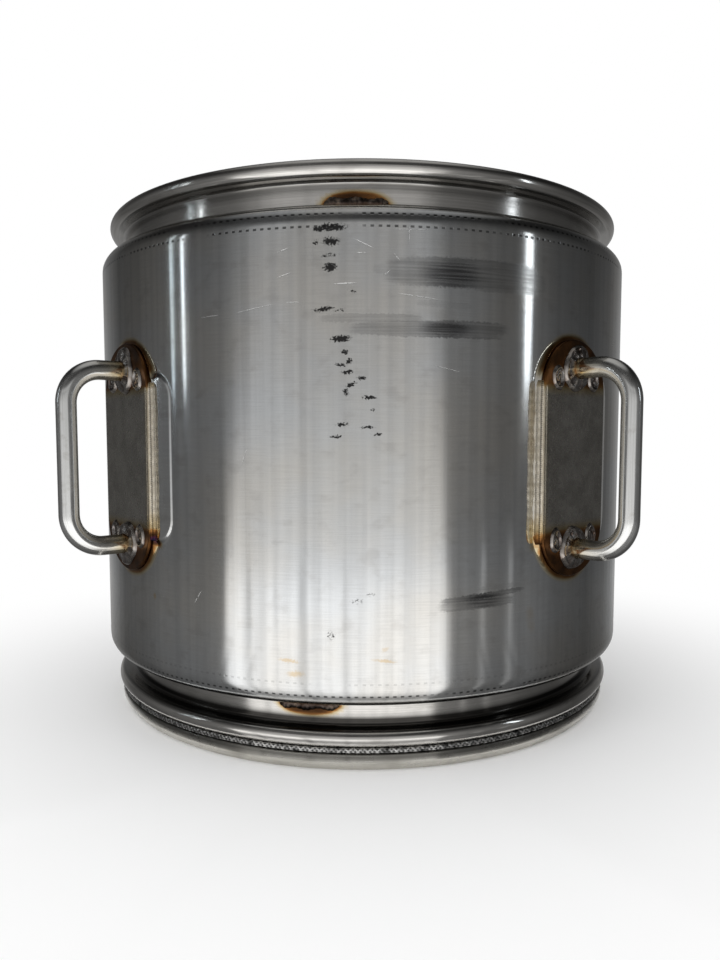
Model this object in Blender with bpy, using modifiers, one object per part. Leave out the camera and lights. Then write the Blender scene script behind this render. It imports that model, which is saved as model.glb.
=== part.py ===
"""Diesel particulate filter: an insulated steel canister round a ceramic wall-flow filter.

Metres, +Z up, origin on the axis at the lowest edge of the pilot collar. The two carrying
handles stand 45 degrees either side of -Y. Sheet pieces keep their real wall thickness,
and pieces that touch are FIT apart.
"""
import math

import bmesh
import bpy
from mathutils import Matrix, Vector

MM = 0.001
SEGMENTS = 40            # facets round every turned piece
FIT = 0.3 * MM           # clearance between pieces that touch

# Filter core: the substrate sets the diameters and the height of all that is round it
SUBSTRATE_RADIUS = 133.35 * MM
SUBSTRATE_LENGTH = 203.2 * MM
CHANNEL_PITCH = 17.8 * MM         # drawn coarse: seven of the real block's channels across
CHANNEL_WALL = 3.5 * MM
CHANNEL_DEPTH = 8.0 * MM          # open channels are drawn as blind pockets in each face
MAT_THICKNESS = 4.75 * MM
CAN_WALL = 1.5 * MM
CAN_BELL_STEP = 3.9 * MM          # the can's ends stand this far outside its waist
CAN_BELL_LENGTH = 12.0 * MM       # full-width end that fits inside a flange sleeve
CAN_BELL_TAPER = 5.0 * MM
RING_WALL = 1.5 * MM
RING_LEG = 9.0 * MM
RING_OVERLAP = 4.4 * MM           # how far the ring covers the rim of the substrate

# Outer shell: a rolled jacket whose ends are turned in over rounded shoulders
INSULATION_THICKNESS = 17.7 * MM
SHELL_WALL = 1.5 * MM
SHELL_OVERHANG = 14.4 * MM        # shell beyond each face of the substrate
SHOULDER_RADIUS = 10.5 * MM
SHOULDER_STEPS = 4

# Flange rings: a sleeve that ends in a rolled bead with a flat sealing face
FLANGE_WALL = 1.6 * MM
NECK_HEIGHT = 12.0 * MM           # sleeve that shows between shoulder and bead
SLEEVE_LAP = 8.0 * MM             # sleeve hidden inside the shoulder
BEAD_DEPTH = 9.0 * MM             # bead's rim outside the sleeve
BEAD_HEIGHT = 8.1 * MM
BEND_RADIUS = 2.6 * MM            # centreline of the bend between sleeve and bead
BEND_STEPS = 2
BEAD_STEPS = 4

# Gasket and pilot collar under the outlet flange
GASKET_WIDTH = 6.4 * MM
GASKET_THICKNESS = 2.6 * MM
GASKET_SETBACK = 2.0 * MM         # gasket's rim inside the bead's
GASKET_CHAMFER = 0.6 * MM
COLLAR_HEIGHT = 8.7 * MM
COLLAR_SETBACK = 1.8 * MM         # collar's rim inside the bead's
COLLAR_TAPER_HEIGHT = 4.6 * MM
COLLAR_TAPER_INSET = 3.2 * MM
COLLAR_WALL = 1.8 * MM
SPIGOT_CLEARANCE = 3.3 * MM       # between the collar's spigot and the can's end

# Handles, the plates under them and the raised flat seats pressed into the shell
HANDLE_ANGLE = math.radians(45.0)
HANDLE_BAR = 10.0 * MM
HANDLE_SPAN = 89.5 * MM           # between the centrelines of the two legs
HANDLE_REACH = 33.0 * MM          # shell to the centreline of the grip
HANDLE_BEND = 17.0 * MM
HANDLE_BEND_STEPS = 6
PLATE_SIDE_MARGIN = 10.75 * MM    # plate beyond the middle of each plug weld
PLATE_END_MARGIN = 14.25 * MM     # plate beyond the middle of each foot
PLATE_THICKNESS = 1.8 * MM
PLATE_EDGE = 0.5 * MM
SEAT_WIDTH = 66.0 * MM
SEAT_LENGTH = 85.0 * MM
SEAT_CORNER = 13.0 * MM
SEAT_EDGE = 0.9 * MM
SEAT_RISE = 0.4 * MM              # seat above the shell along the handle's centreline
SEAT_SHIFT = 5.0 * MM             # both seats lie this far anticlockwise of their handle

# Weld metal that stands on the plates
FILLET_LEG = 5.4 * MM             # weld run round each foot of a handle
FILLET_STRETCH = 1.12             # the run is taller than it is wide
PLUG_RADIUS = 5.0 * MM
PLUG_HEIGHT = 1.9 * MM
PLUG_SPACING = 29.5 * MM
PLUG_INSET = 5.0 * MM             # plugs lie nearer the grip's middle than the feet
WELD_ROOT = 0.6 * MM              # weld metal sunk into the plate
WELD_SIDES = 12

# Radii that follow from the sizes above, from the inside out
CAN_INNER = SUBSTRATE_RADIUS + FIT + MAT_THICKNESS + FIT
CAN_RADIUS = CAN_INNER + CAN_WALL
BELL_RADIUS = CAN_RADIUS + CAN_BELL_STEP
SLEEVE_INNER = BELL_RADIUS + FIT
SLEEVE_RADIUS = SLEEVE_INNER + FLANGE_WALL
BEAD_RADIUS = SLEEVE_RADIUS + BEAD_DEPTH
GASKET_RADIUS = BEAD_RADIUS - GASKET_SETBACK
GASKET_INNER = GASKET_RADIUS - GASKET_WIDTH
COLLAR_RADIUS = BEAD_RADIUS - COLLAR_SETBACK
SHELL_RADIUS = CAN_RADIUS + FIT + INSULATION_THICKNESS + FIT + SHELL_WALL
GRIP_RADIUS = SHELL_RADIUS + HANDLE_REACH

# Levels that follow, from the ground up
COLLAR_TOP = COLLAR_HEIGHT
GASKET_BOTTOM = COLLAR_TOP + FIT
GASKET_TOP = GASKET_BOTTOM + GASKET_THICKNESS
OUTLET_FACE = GASKET_TOP + FIT
SHELL_BOTTOM = OUTLET_FACE + BEAD_HEIGHT + NECK_HEIGHT
SHELL_HEIGHT = SUBSTRATE_LENGTH + 2 * SHELL_OVERHANG
SHELL_TOP = SHELL_BOTTOM + SHELL_HEIGHT
MIDDLE = (SHELL_BOTTOM + SHELL_TOP) / 2
SUBSTRATE_TOP = MIDDLE + SUBSTRATE_LENGTH / 2
RING_TOP = SUBSTRATE_TOP + FIT + RING_WALL
SLEEVE_END = SHELL_TOP - SLEEVE_LAP           # hidden end of the inlet flange's sleeve
BELL_END = SLEEVE_END + CAN_BELL_LENGTH
CAN_BOTTOM = 2 * MIDDLE - BELL_END
SPIGOT_TOP = CAN_BOTTOM - SPIGOT_CLEARANCE

# Planes in front of the shell at each handle, as distances from the axis
SEAT_PLANE = SHELL_RADIUS + SEAT_RISE
PLATE_BOTTOM = SEAT_PLANE + FIT
PLATE_TOP = PLATE_BOTTOM + PLATE_THICKNESS
PLATE_WIDTH = PLUG_SPACING + 2 * PLATE_SIDE_MARGIN
PLATE_LENGTH = HANDLE_SPAN + 2 * PLATE_END_MARGIN


def clear_scene():
    for obj in list(bpy.data.objects):
        bpy.data.objects.remove(obj, do_unlink=True)


def new_collection(name):
    collection = bpy.data.collections.new(name)
    bpy.context.scene.collection.children.link(collection)
    return collection


def material(name, colour, roughness, metallic):
    made = bpy.data.materials.new(name)
    made.use_nodes = True
    shader = made.node_tree.nodes["Principled BSDF"]
    shader.inputs["Base Color"].default_value = (*colour, 1.0)
    shader.inputs["Roughness"].default_value = roughness
    shader.inputs["Metallic"].default_value = metallic
    return made


def add_object(name, mesh, collection, finish=None):
    obj = bpy.data.objects.new(name, mesh)
    collection.objects.link(obj)
    if finish:
        mesh.materials.append(finish)
    return obj


def as_cutter(obj):
    obj.hide_render = True
    obj.display_type = "WIRE"
    return obj


def arc(centre, radius, start, end, steps):
    """Points on an arc in the (radius, height) plane, angles in degrees."""
    points = []
    for i in range(steps + 1):
        angle = math.radians(start + (end - start) * i / steps)
        points.append((centre[0] + radius * math.cos(angle), centre[1] + radius * math.sin(angle)))
    return points


def flipped(profile):
    """The profile mirrored about the canister's mid-plane, with its direction kept."""
    return [(r, 2 * MIDDLE - z) for r, z in reversed(profile)]


def sheet(path, wall):
    """A closed profile of constant wall along a centreline, given its points in order."""
    left, right = [], []
    for i, point in enumerate(path):
        before = Vector(path[max(i - 1, 0)])
        after = Vector(path[min(i + 1, len(path) - 1)])
        along = (after - before).normalized()
        across = Vector((-along.y, along.x)) * wall / 2
        left.append(tuple(Vector(point) + across))
        right.append(tuple(Vector(point) - across))
    return left + right[::-1]


def turned(name, profile, collection, finish=None, segments=SEGMENTS, closed=True):
    """A solid of revolution: the profile runs down its outer side and back up the inner one."""
    mesh = bpy.data.meshes.new(name)
    vertices = [(r, 0.0, z) for r, z in profile]
    edges = [(i, i + 1) for i in range(len(profile) - 1)]
    if closed:
        edges.append((len(profile) - 1, 0))
    mesh.from_pydata(vertices, edges, [])
    obj = add_object(name, mesh, collection, finish)
    screw = obj.modifiers.new("Turn", "SCREW")
    screw.angle = 2 * math.pi
    screw.steps = segments
    screw.render_steps = segments
    screw.use_merge_vertices = True
    screw.merge_threshold = 0.00001
    screw.use_smooth_shade = True
    return obj


def outline_solid(name, outline, thickness, collection, finish=None):
    """A flat outline thickened about its own plane, with its caps welded."""
    curve = bpy.data.curves.new(name, "CURVE")
    curve.dimensions = "2D"
    curve.fill_mode = "BOTH"
    curve.extrude = thickness / 2
    spline = curve.splines.new("POLY")
    spline.points.add(len(outline) - 1)
    for point, (x, y) in zip(spline.points, outline):
        point.co = (x, y, 0.0, 1.0)
    spline.use_cyclic_u = True
    return solid_from_curve(name, curve, collection, finish)


def solid_from_curve(name, curve, collection, finish=None):
    guide = bpy.data.objects.new(name + "_guide", curve)
    collection.objects.link(guide)
    bpy.context.view_layer.update()
    evaluated = guide.evaluated_get(bpy.context.evaluated_depsgraph_get())
    mesh = bpy.data.meshes.new_from_object(evaluated)
    mesh.name = name
    build = bmesh.new()
    build.from_mesh(mesh)
    bmesh.ops.remove_doubles(build, verts=build.verts, dist=0.00001)
    bmesh.ops.recalc_face_normals(build, faces=build.faces)
    build.to_mesh(mesh)
    build.free()
    bpy.data.objects.remove(guide, do_unlink=True)
    mesh.materials.clear()
    return add_object(name, mesh, collection, finish)


def rounded_rectangle(width, height, corner, steps):
    points = []
    for cx, cy, start in ((1, 1, 0), (-1, 1, 90), (-1, -1, 180), (1, -1, 270)):
        centre = (cx * (width / 2 - corner), cy * (height / 2 - corner))
        points += arc(centre, corner, start, start + 90, steps)
    kept = []
    for point in points:
        if not kept or (Vector(point) - Vector(kept[-1])).length > FIT / 3:
            kept.append(point)
    return kept


def facing_out(angle):
    """Local X runs along the shell, local Y up, local Z out, at an angle from -Y towards +X."""
    out = Vector((math.sin(angle), -math.cos(angle), 0.0))
    up = Vector((0.0, 0.0, 1.0))
    along = up.cross(out)
    turn = Matrix((along, up, out)).transposed().to_4x4()
    return Matrix.Translation((0.0, 0.0, MIDDLE)) @ turn


def boolean(obj, operation, other):
    step = obj.modifiers.new(operation.title(), "BOOLEAN")
    step.operation = operation
    step.solver = "EXACT"
    step.object = other


def round_edges(obj, width, segments=2):
    bevel = obj.modifiers.new("Round", "BEVEL")
    bevel.width = width
    bevel.segments = segments
    bevel.limit_method = "ANGLE"
    bevel.angle_limit = math.radians(50)


def shell_profile(inset, steps=SHOULDER_STEPS):
    """Jacket from rim to rim, drawn in by the inset; the ends close on the axis."""
    radius = SHELL_RADIUS - inset
    fillet = SHOULDER_RADIUS - inset
    top = SHELL_TOP - inset
    bottom = SHELL_BOTTOM + inset
    points = [(0.0, top)]
    points += arc((radius - fillet, top - fillet), fillet, 90, 0, steps)
    points += arc((radius - fillet, bottom + fillet), fillet, 0, -90, steps)
    points.append((0.0, bottom))
    return points


def make_seat(name, angle, inset, collection):
    """The raised flat of a handle, or with an inset the hollow behind it."""
    depth = SHELL_RADIUS / 8
    outline = rounded_rectangle(SEAT_WIDTH - 2 * inset, SEAT_LENGTH - 2 * inset, SEAT_CORNER - inset, 4)
    seat = outline_solid(name, outline, depth, collection)
    shift = Vector((SEAT_SHIFT, 0.0, SEAT_PLANE - inset - depth / 2))
    seat.matrix_world = facing_out(angle) @ Matrix.Translation(shift)
    if not inset:
        round_edges(seat, SEAT_EDGE)
    return as_cutter(seat)


def make_shell(collection, tools, finish):
    shell = turned("outer_shell", shell_profile(0.0), collection, finish, closed=False)
    core = as_cutter(turned("shell_hollow", shell_profile(SHELL_WALL), tools, closed=False))
    mouth_radius = SLEEVE_RADIUS + FIT
    mouth_reach = SHELL_HEIGHT / 2 + NECK_HEIGHT
    mouth = [(0.0, MIDDLE + mouth_reach), (mouth_radius, MIDDLE + mouth_reach),
             (mouth_radius, MIDDLE - mouth_reach), (0.0, MIDDLE - mouth_reach)]
    opening = as_cutter(turned("shell_mouth", mouth, tools, closed=False))
    for side, angle in (("right", HANDLE_ANGLE), ("left", -HANDLE_ANGLE)):
        boolean(shell, "UNION", make_seat(side + "_seat", angle, 0.0, tools))
    for side, angle in (("right", HANDLE_ANGLE), ("left", -HANDLE_ANGLE)):
        boolean(shell, "DIFFERENCE", make_seat(side + "_seat_hollow", angle, SHELL_WALL, tools))
    boolean(shell, "DIFFERENCE", core)
    boolean(shell, "DIFFERENCE", opening)
    return shell


def flange_path():
    """Centreline of the inlet flange's sheet, from the hidden sleeve end to the face's inner rim."""
    half = FLANGE_WALL / 2
    sleeve = SLEEVE_RADIUS - half
    face = SHELL_TOP + NECK_HEIGHT + BEAD_HEIGHT
    underside = face - BEAD_HEIGHT + half
    curl = (BEAD_HEIGHT - FLANGE_WALL) / 2
    bead_centre = (BEAD_RADIUS - half - curl, face - half - curl)
    path = [(sleeve, SLEEVE_END)]
    path += arc((sleeve + BEND_RADIUS, underside - BEND_RADIUS), BEND_RADIUS, 180, 90, BEND_STEPS)
    path += arc(bead_centre, curl, -90, 90, BEAD_STEPS)
    path.append((sleeve, face - half))
    return path


def make_flanges(collection, finish):
    profile = sheet(flange_path(), FLANGE_WALL)
    turned("inlet_flange", profile, collection, finish)
    turned("outlet_flange", flipped(profile), collection, finish)


def make_gasket(collection, finish):
    edge = GASKET_CHAMFER
    profile = [(GASKET_INNER, GASKET_TOP), (GASKET_RADIUS - edge, GASKET_TOP),
               (GASKET_RADIUS, GASKET_TOP - edge), (GASKET_RADIUS, GASKET_BOTTOM + edge),
               (GASKET_RADIUS - edge, GASKET_BOTTOM), (GASKET_INNER, GASKET_BOTTOM)]
    turned("flange_gasket", profile, collection, finish)


def make_collar(collection, finish):
    spigot = SLEEVE_INNER - FIT
    bore = spigot - COLLAR_WALL
    lead = COLLAR_WALL / 3
    profile = [(bore, SPIGOT_TOP), (spigot - lead, SPIGOT_TOP), (spigot, SPIGOT_TOP - lead),
               (spigot, COLLAR_TOP),
               (COLLAR_RADIUS, COLLAR_TOP), (COLLAR_RADIUS, COLLAR_TAPER_HEIGHT),
               (COLLAR_RADIUS - COLLAR_TAPER_INSET, 0.0), (bore, 0.0)]
    turned("pilot_collar", profile, collection, finish)


def make_can(collection, finish):
    """Tube sized down round the mat, its ends left at full width inside the sleeves."""
    w = CAN_WALL
    waist = SLEEVE_END - CAN_BELL_TAPER
    low = [2 * MIDDLE - z for z in (BELL_END, SLEEVE_END, waist)]
    outer = [(BELL_RADIUS, BELL_END), (BELL_RADIUS, SLEEVE_END), (CAN_RADIUS, waist),
             (CAN_RADIUS, low[2]), (BELL_RADIUS, low[1]), (BELL_RADIUS, low[0])]
    inner = [(r - w, z) for r, z in reversed(outer)]
    turned("filter_can", outer + inner, collection, finish)


def make_insulation(collection, finish):
    """Blanket that fills the space between can and shell."""
    gap = FIT + SHELL_WALL
    outside = [point for point in shell_profile(gap, SHOULDER_STEPS // 4) if point[0] > 0.0]
    collar = SLEEVE_RADIUS + FIT
    inside = CAN_RADIUS + FIT
    step = SLEEVE_END - CAN_BELL_TAPER - FIT
    top, bottom = SHELL_TOP - gap, SHELL_BOTTOM + gap
    low_step = 2 * MIDDLE - step
    inner = [(collar, bottom), (collar, low_step), (inside, low_step + CAN_BELL_TAPER),
             (inside, step - CAN_BELL_TAPER), (collar, step), (collar, top)]
    turned("insulation_blanket", outside + inner, collection, finish)


def open_channels(parity):
    """Centres of every other channel that clears the retaining ring's lip."""
    half = (CHANNEL_PITCH - CHANNEL_WALL) / 2
    clear = SUBSTRATE_RADIUS - RING_OVERLAP - CHANNEL_WALL / 2
    reach = int(SUBSTRATE_RADIUS / CHANNEL_PITCH) + 1
    centres = []
    for i in range(-reach, reach + 1):
        for j in range(-reach, reach + 1):
            x, y = i * CHANNEL_PITCH, j * CHANNEL_PITCH
            if (i + j) % 2 == parity and math.hypot(abs(x) + half, abs(y) + half) < clear:
                centres.append((x, y))
    return centres


def channel_cutter(name, face, parity, tools):
    """One box for each open channel of a face; the other face has the other channels open."""
    side = CHANNEL_PITCH - CHANNEL_WALL
    build = bmesh.new()
    for x, y in open_channels(parity):
        place = Matrix.Translation((x, y, face)) @ Matrix.Diagonal((side, side, 2 * CHANNEL_DEPTH, 1.0))
        bmesh.ops.create_cube(build, size=1.0, matrix=place)
    mesh = bpy.data.meshes.new(name)
    build.to_mesh(mesh)
    build.free()
    return as_cutter(add_object(name, mesh, tools))


def make_core(collection, tools, ceramic, fibre, steel):
    low, high = 2 * MIDDLE - SUBSTRATE_TOP, SUBSTRATE_TOP
    block = turned("filter_substrate", [(0.0, high), (SUBSTRATE_RADIUS, high), (SUBSTRATE_RADIUS, low),
                                        (0.0, low)], collection, ceramic, closed=False)
    boolean(block, "DIFFERENCE", channel_cutter("inlet_channels", high, 0, tools))
    boolean(block, "DIFFERENCE", channel_cutter("outlet_channels", low, 1, tools))
    mat_inner = SUBSTRATE_RADIUS + FIT
    mat_outer = CAN_INNER - FIT
    mat_top = RING_TOP - RING_LEG - FIT
    mat_low = 2 * MIDDLE - mat_top
    turned("support_mat", [(mat_inner, mat_top), (mat_outer, mat_top), (mat_outer, mat_low),
                           (mat_inner, mat_low)], collection, fibre)
    lip = SUBSTRATE_RADIUS - RING_OVERLAP
    profile = [(lip, RING_TOP), (mat_outer, RING_TOP), (mat_outer, RING_TOP - RING_LEG),
               (mat_inner, RING_TOP - RING_LEG), (mat_inner, RING_TOP - RING_WALL),
               (lip, RING_TOP - RING_WALL)]
    turned("upper_retaining_ring", profile, collection, steel)
    turned("lower_retaining_ring", flipped(profile), collection, steel)


def handle_path():
    """Centreline of a handle: x is the distance from the axis, y the height about the middle."""
    foot = PLATE_TOP + FIT
    half = HANDLE_SPAN / 2
    centre = (GRIP_RADIUS - HANDLE_BEND, half - HANDLE_BEND)
    upper = [(foot, half)] + arc(centre, HANDLE_BEND, 90, 0, HANDLE_BEND_STEPS)
    return upper + [(x, -y) for x, y in reversed(upper)]


def make_handle(name, angle, collection, finish):
    curve = bpy.data.curves.new(name, "CURVE")
    curve.dimensions = "3D"
    curve.bevel_depth = HANDLE_BAR / 2
    curve.bevel_resolution = 4
    curve.use_fill_caps = True
    path = handle_path()
    spline = curve.splines.new("POLY")
    spline.points.add(len(path) - 1)
    for point, (out, up) in zip(spline.points, path):
        point.co = (0.0, up, out, 1.0)
    handle = solid_from_curve(name, curve, collection, finish)
    handle.matrix_world = facing_out(angle)
    handle.data.shade_smooth()
    return handle


def weld_fillet(name, tools):
    """Rounded run of weld round the foot of a handle, open for the bar."""
    bar = HANDLE_BAR / 2 + FIT
    toe = bar + FILLET_LEG
    crown = PLATE_TOP + FILLET_LEG * 0.9
    profile = [(bar, crown), (bar + FILLET_LEG * 0.3, crown - FILLET_LEG * 0.08),
               (bar + FILLET_LEG * 0.68, crown - FILLET_LEG * 0.32),
               (toe - FILLET_LEG * 0.06, PLATE_TOP + FILLET_LEG * 0.2), (toe, PLATE_TOP),
               (toe, PLATE_TOP - WELD_ROOT), (bar, PLATE_TOP - WELD_ROOT)]
    return turned(name, profile, tools, segments=WELD_SIDES)


def weld_plug(name, tools):
    """Dished nugget: a raised rim round a hollow middle."""
    profile = [(0.0, PLATE_TOP + PLUG_HEIGHT * 0.45), (PLUG_RADIUS * 0.42, PLATE_TOP + PLUG_HEIGHT * 0.62),
               (PLUG_RADIUS * 0.7, PLATE_TOP + PLUG_HEIGHT), (PLUG_RADIUS * 0.92, PLATE_TOP + PLUG_HEIGHT * 0.6),
               (PLUG_RADIUS, PLATE_TOP), (PLUG_RADIUS, PLATE_TOP - WELD_ROOT), (0.0, PLATE_TOP - WELD_ROOT)]
    return turned(name, profile, tools, segments=WELD_SIDES, closed=False)


def make_plate(side, angle, collection, tools, finish):
    """Obround doubler with the weld metal that joins the handle to it."""
    name = side + "_handle_plate"
    outline = rounded_rectangle(PLATE_WIDTH, PLATE_LENGTH, PLATE_WIDTH / 2, 7)
    plate = outline_solid(name, outline, PLATE_THICKNESS, collection, finish)
    for vertex in plate.data.vertices:
        vertex.co.z += PLATE_BOTTOM + PLATE_THICKNESS / 2
    plate.matrix_world = facing_out(angle)
    round_edges(plate, PLATE_EDGE, 1)
    for level in (1, -1):
        label = "{}_{}".format(side, "upper" if level > 0 else "lower")
        fillet = weld_fillet(label + "_fillet", tools)
        fillet.matrix_world = (facing_out(angle) @ Matrix.Translation((0.0, level * HANDLE_SPAN / 2, 0.0))
                               @ Matrix.Diagonal((1.0, FILLET_STRETCH, 1.0, 1.0)))
        boolean(plate, "UNION", as_cutter(fillet))
        for across in (1, -1):
            plug = weld_plug("{}_plug_{}".format(label, "a" if across > 0 else "b"), tools)
            spot = Vector((across * PLUG_SPACING / 2, level * (HANDLE_SPAN / 2 - PLUG_INSET), 0.0))
            plug.matrix_world = facing_out(angle) @ Matrix.Translation(spot)
            boolean(plate, "UNION", as_cutter(plug))
    return plate


def main():
    clear_scene()
    parts = new_collection("diesel_particulate_filter")
    tools = new_collection("cutters")
    rolled = material("rolled_stainless", (0.42, 0.42, 0.41), 0.32, 1.0)
    polished = material("polished_stainless", (0.62, 0.61, 0.58), 0.18, 1.0)
    tinted = material("heat_tinted_stainless", (0.24, 0.20, 0.16), 0.4, 1.0)
    mesh_wire = material("braided_steel_wire", (0.10, 0.10, 0.11), 0.55, 1.0)
    ceramic = material("cordierite_ceramic", (0.62, 0.56, 0.46), 0.9, 0.0)
    fibre = material("ceramic_fibre", (0.80, 0.78, 0.72), 0.95, 0.0)

    make_shell(parts, tools, rolled)
    make_flanges(parts, rolled)
    make_gasket(parts, mesh_wire)
    make_collar(parts, rolled)
    make_can(parts, rolled)
    make_insulation(parts, fibre)
    make_core(parts, tools, ceramic, fibre, rolled)
    for side, angle in (("right", HANDLE_ANGLE), ("left", -HANDLE_ANGLE)):
        make_plate(side, angle, parts, tools, tinted)
        make_handle(side + "_handle", angle, parts, polished)


main()
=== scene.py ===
# %% [markdown]
# # A diesel particulate filter canister
#
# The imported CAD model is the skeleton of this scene. Each code cell makes one piece of the canister
# as a surface worked out with numpy, and says which solid it stands for. The finishes come last.
# Lengths are written in millimetres and turned to metres with MM.

import math

import bmesh
import bpy
import numpy as np
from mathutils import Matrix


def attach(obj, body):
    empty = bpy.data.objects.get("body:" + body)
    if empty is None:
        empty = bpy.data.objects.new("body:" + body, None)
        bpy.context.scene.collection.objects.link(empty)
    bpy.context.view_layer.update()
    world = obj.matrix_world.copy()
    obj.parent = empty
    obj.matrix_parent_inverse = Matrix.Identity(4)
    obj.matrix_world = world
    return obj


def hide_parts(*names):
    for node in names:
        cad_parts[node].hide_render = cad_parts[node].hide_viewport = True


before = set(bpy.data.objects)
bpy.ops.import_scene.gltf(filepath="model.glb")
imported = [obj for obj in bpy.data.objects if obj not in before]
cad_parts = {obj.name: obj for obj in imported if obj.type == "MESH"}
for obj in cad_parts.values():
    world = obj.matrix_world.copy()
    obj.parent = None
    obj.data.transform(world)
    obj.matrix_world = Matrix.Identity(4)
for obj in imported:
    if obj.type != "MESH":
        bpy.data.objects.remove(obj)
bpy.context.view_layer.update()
MM = 0.001

# %% [markdown]
# The photograph looks at the canister from just above half its height, half a metre away, pitched a
# few degrees down. The lens and the small shifts were fitted to the rims of the two beads, whose
# ellipses fix both the distance and the tilt. The camera comes first, so every later step can be
# checked against the picture.

# %% Camera
CAMERA_TURN = math.radians(4.2)
CAMERA_PITCH = math.radians(4.2)
CAMERA_DISTANCE = 505.3 * MM
CAMERA_HEIGHT = 160.5 * MM
LENS, SENSOR_HEIGHT = 28.67, 36.0
SHIFT = (-0.0023, 0.0104)

camera_data = bpy.data.cameras.new("camera")
camera_data.sensor_fit = "VERTICAL"
camera_data.sensor_height = SENSOR_HEIGHT
camera_data.lens = LENS
camera_data.shift_x, camera_data.shift_y = SHIFT
camera_data.clip_start = 0.01
camera = bpy.data.objects.new("camera", camera_data)
camera.location = (CAMERA_DISTANCE * math.sin(CAMERA_TURN), -CAMERA_DISTANCE * math.cos(CAMERA_TURN),
                   CAMERA_HEIGHT)
camera.rotation_euler = (math.pi / 2 - CAMERA_PITCH, 0.0, CAMERA_TURN)
bpy.context.scene.collection.objects.link(camera)
bpy.context.scene.camera = camera
bpy.context.scene.view_settings.view_transform = "Standard"
print("camera at", [round(c, 3) for c in camera.location])

# %% [markdown]
# Every surface here is a grid: rows and columns of points, computed as one array. Neighbouring
# points make quads. A grid that runs all the way round is joined to its first row, and points that
# fall on each other, at a pole or along a closed edge, are merged, so each piece is a closed skin.
# The grid also gives the piece a UV map in metres, along its rows and its columns, which a finish
# can use to run its grain along the sheet.

# %% Grids into meshes
def grid_piece(name, points, across, along, wrap=(True, True), **notes):
    """Mesh from points[i, j]: quad (i, j) (i, j+1) (i+1, j+1) (i+1, j), with UV (across, along).

    across and along hold one value more than the points in each direction that wraps round.
    Each note is one number a point, kept as an attribute that a finish can read by its name.
    If the closed skin holds a negative volume, its faces look inwards and are turned over.
    """
    rows, columns = points.shape[:2]
    i = np.arange(rows if wrap[0] else rows - 1)[:, None]
    j = np.arange(columns if wrap[1] else columns - 1)[None, :]
    corners = ((i, j), (i, j + 1), (i + 1, j + 1), (i + 1, j))
    quads = np.stack([(a % rows) * columns + b % columns for a, b in corners], -1).reshape(-1, 4)
    shape = (rows + wrap[0], columns + wrap[1])
    across, along = np.broadcast_to(across, shape), np.broadcast_to(along, shape)
    uv = np.stack([np.stack([across[a, b], along[a, b]], -1) for a, b in corners], -2).reshape(-1, 4, 2)
    flat = points.reshape(-1, 3)
    p, q, r, s = (flat[quads[:, k]] for k in range(4))
    volume = (p * (np.cross(q, r) + np.cross(r, s))).sum() / 6
    if volume < 0:
        quads, uv = quads[:, ::-1], uv[:, ::-1]
    mesh = bpy.data.meshes.new(name)
    mesh.from_pydata(flat.tolist(), [], quads.tolist())
    mesh.uv_layers.new(name="sheet").data.foreach_set("uv", uv.reshape(-1).astype(np.float32))
    for key, values in notes.items():
        values = np.broadcast_to(values, (rows, columns)).reshape(-1).astype(np.float32)
        mesh.attributes.new(key, "FLOAT", "POINT").data.foreach_set("value", values)
    build = bmesh.new()
    build.from_mesh(mesh)
    bmesh.ops.remove_doubles(build, verts=build.verts, dist=0.000002)
    build.to_mesh(mesh)
    build.free()
    mesh.polygons.foreach_set("use_smooth", [True] * len(mesh.polygons))
    piece = bpy.data.objects.new(name, mesh)
    bpy.context.scene.collection.objects.link(piece)
    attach(piece, "root")
    print("{}: {} faces, {:.1f} cm3".format(name, len(mesh.polygons), abs(volume) * 1e6))
    return piece


# %% [markdown]
# Most of a canister is round about one axis. A turned piece is a profile of radius and height,
# carried round the axis. Angle 0 is the front, -Y. A pressed sheet is its centreline moved half a
# wall to each side along its own normal.

# %% Paths and profiles
def arc(centre, radius, start, end, steps):
    """Points at centre + radius * (cos t, sin t) for t from start to end degrees."""
    t = np.radians(np.linspace(start, end, steps + 1))
    return np.stack([centre[0] + radius * np.cos(t), centre[1] + radius * np.sin(t)], 1)


def normals(path):
    """Unit normals of a flat path: its direction turned a quarter to the left."""
    along = np.gradient(path, axis=0)
    along /= np.linalg.norm(along, axis=1, keepdims=True)
    return np.stack([-along[:, 1], along[:, 0]], 1)


def walled(path, wall):
    """Closed outline of a sheet: the path moved by half the wall along its normal, both ways."""
    aside = normals(path) * wall / 2
    return np.concatenate([path + aside, (path - aside)[::-1]])


def split(profile, longest):
    """Adds evenly spaced points to each stretch of a closed profile that is longer than given."""
    kept = []
    for start, end in zip(profile, np.roll(profile, -1, axis=0)):
        parts = max(1, int(math.ceil(np.linalg.norm(end - start) / longest)))
        kept.append(start + (end - start) * np.arange(parts)[:, None] / parts)
    return np.concatenate(kept)


def run_length(path, closed=False):
    """Distance from the first point of a path to each next one, and back to it if closed."""
    steps = np.linalg.norm(np.diff(path, axis=0, append=path[:1] if closed else path[:0]), axis=1)
    return np.concatenate([[0.0], np.cumsum(steps)])


# %% Turned pieces
def around(count):
    """Angles of the columns, from the back round the front to the back again."""
    return np.linspace(-math.pi, math.pi, count + 1)[:-1]


def placed(r, a, z):
    """Radius, angle and height to a point: x = r sin a, y = -r cos a, z = z."""
    return np.stack([r * np.sin(a), -r * np.cos(a), z + 0 * a], -1)


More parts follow.
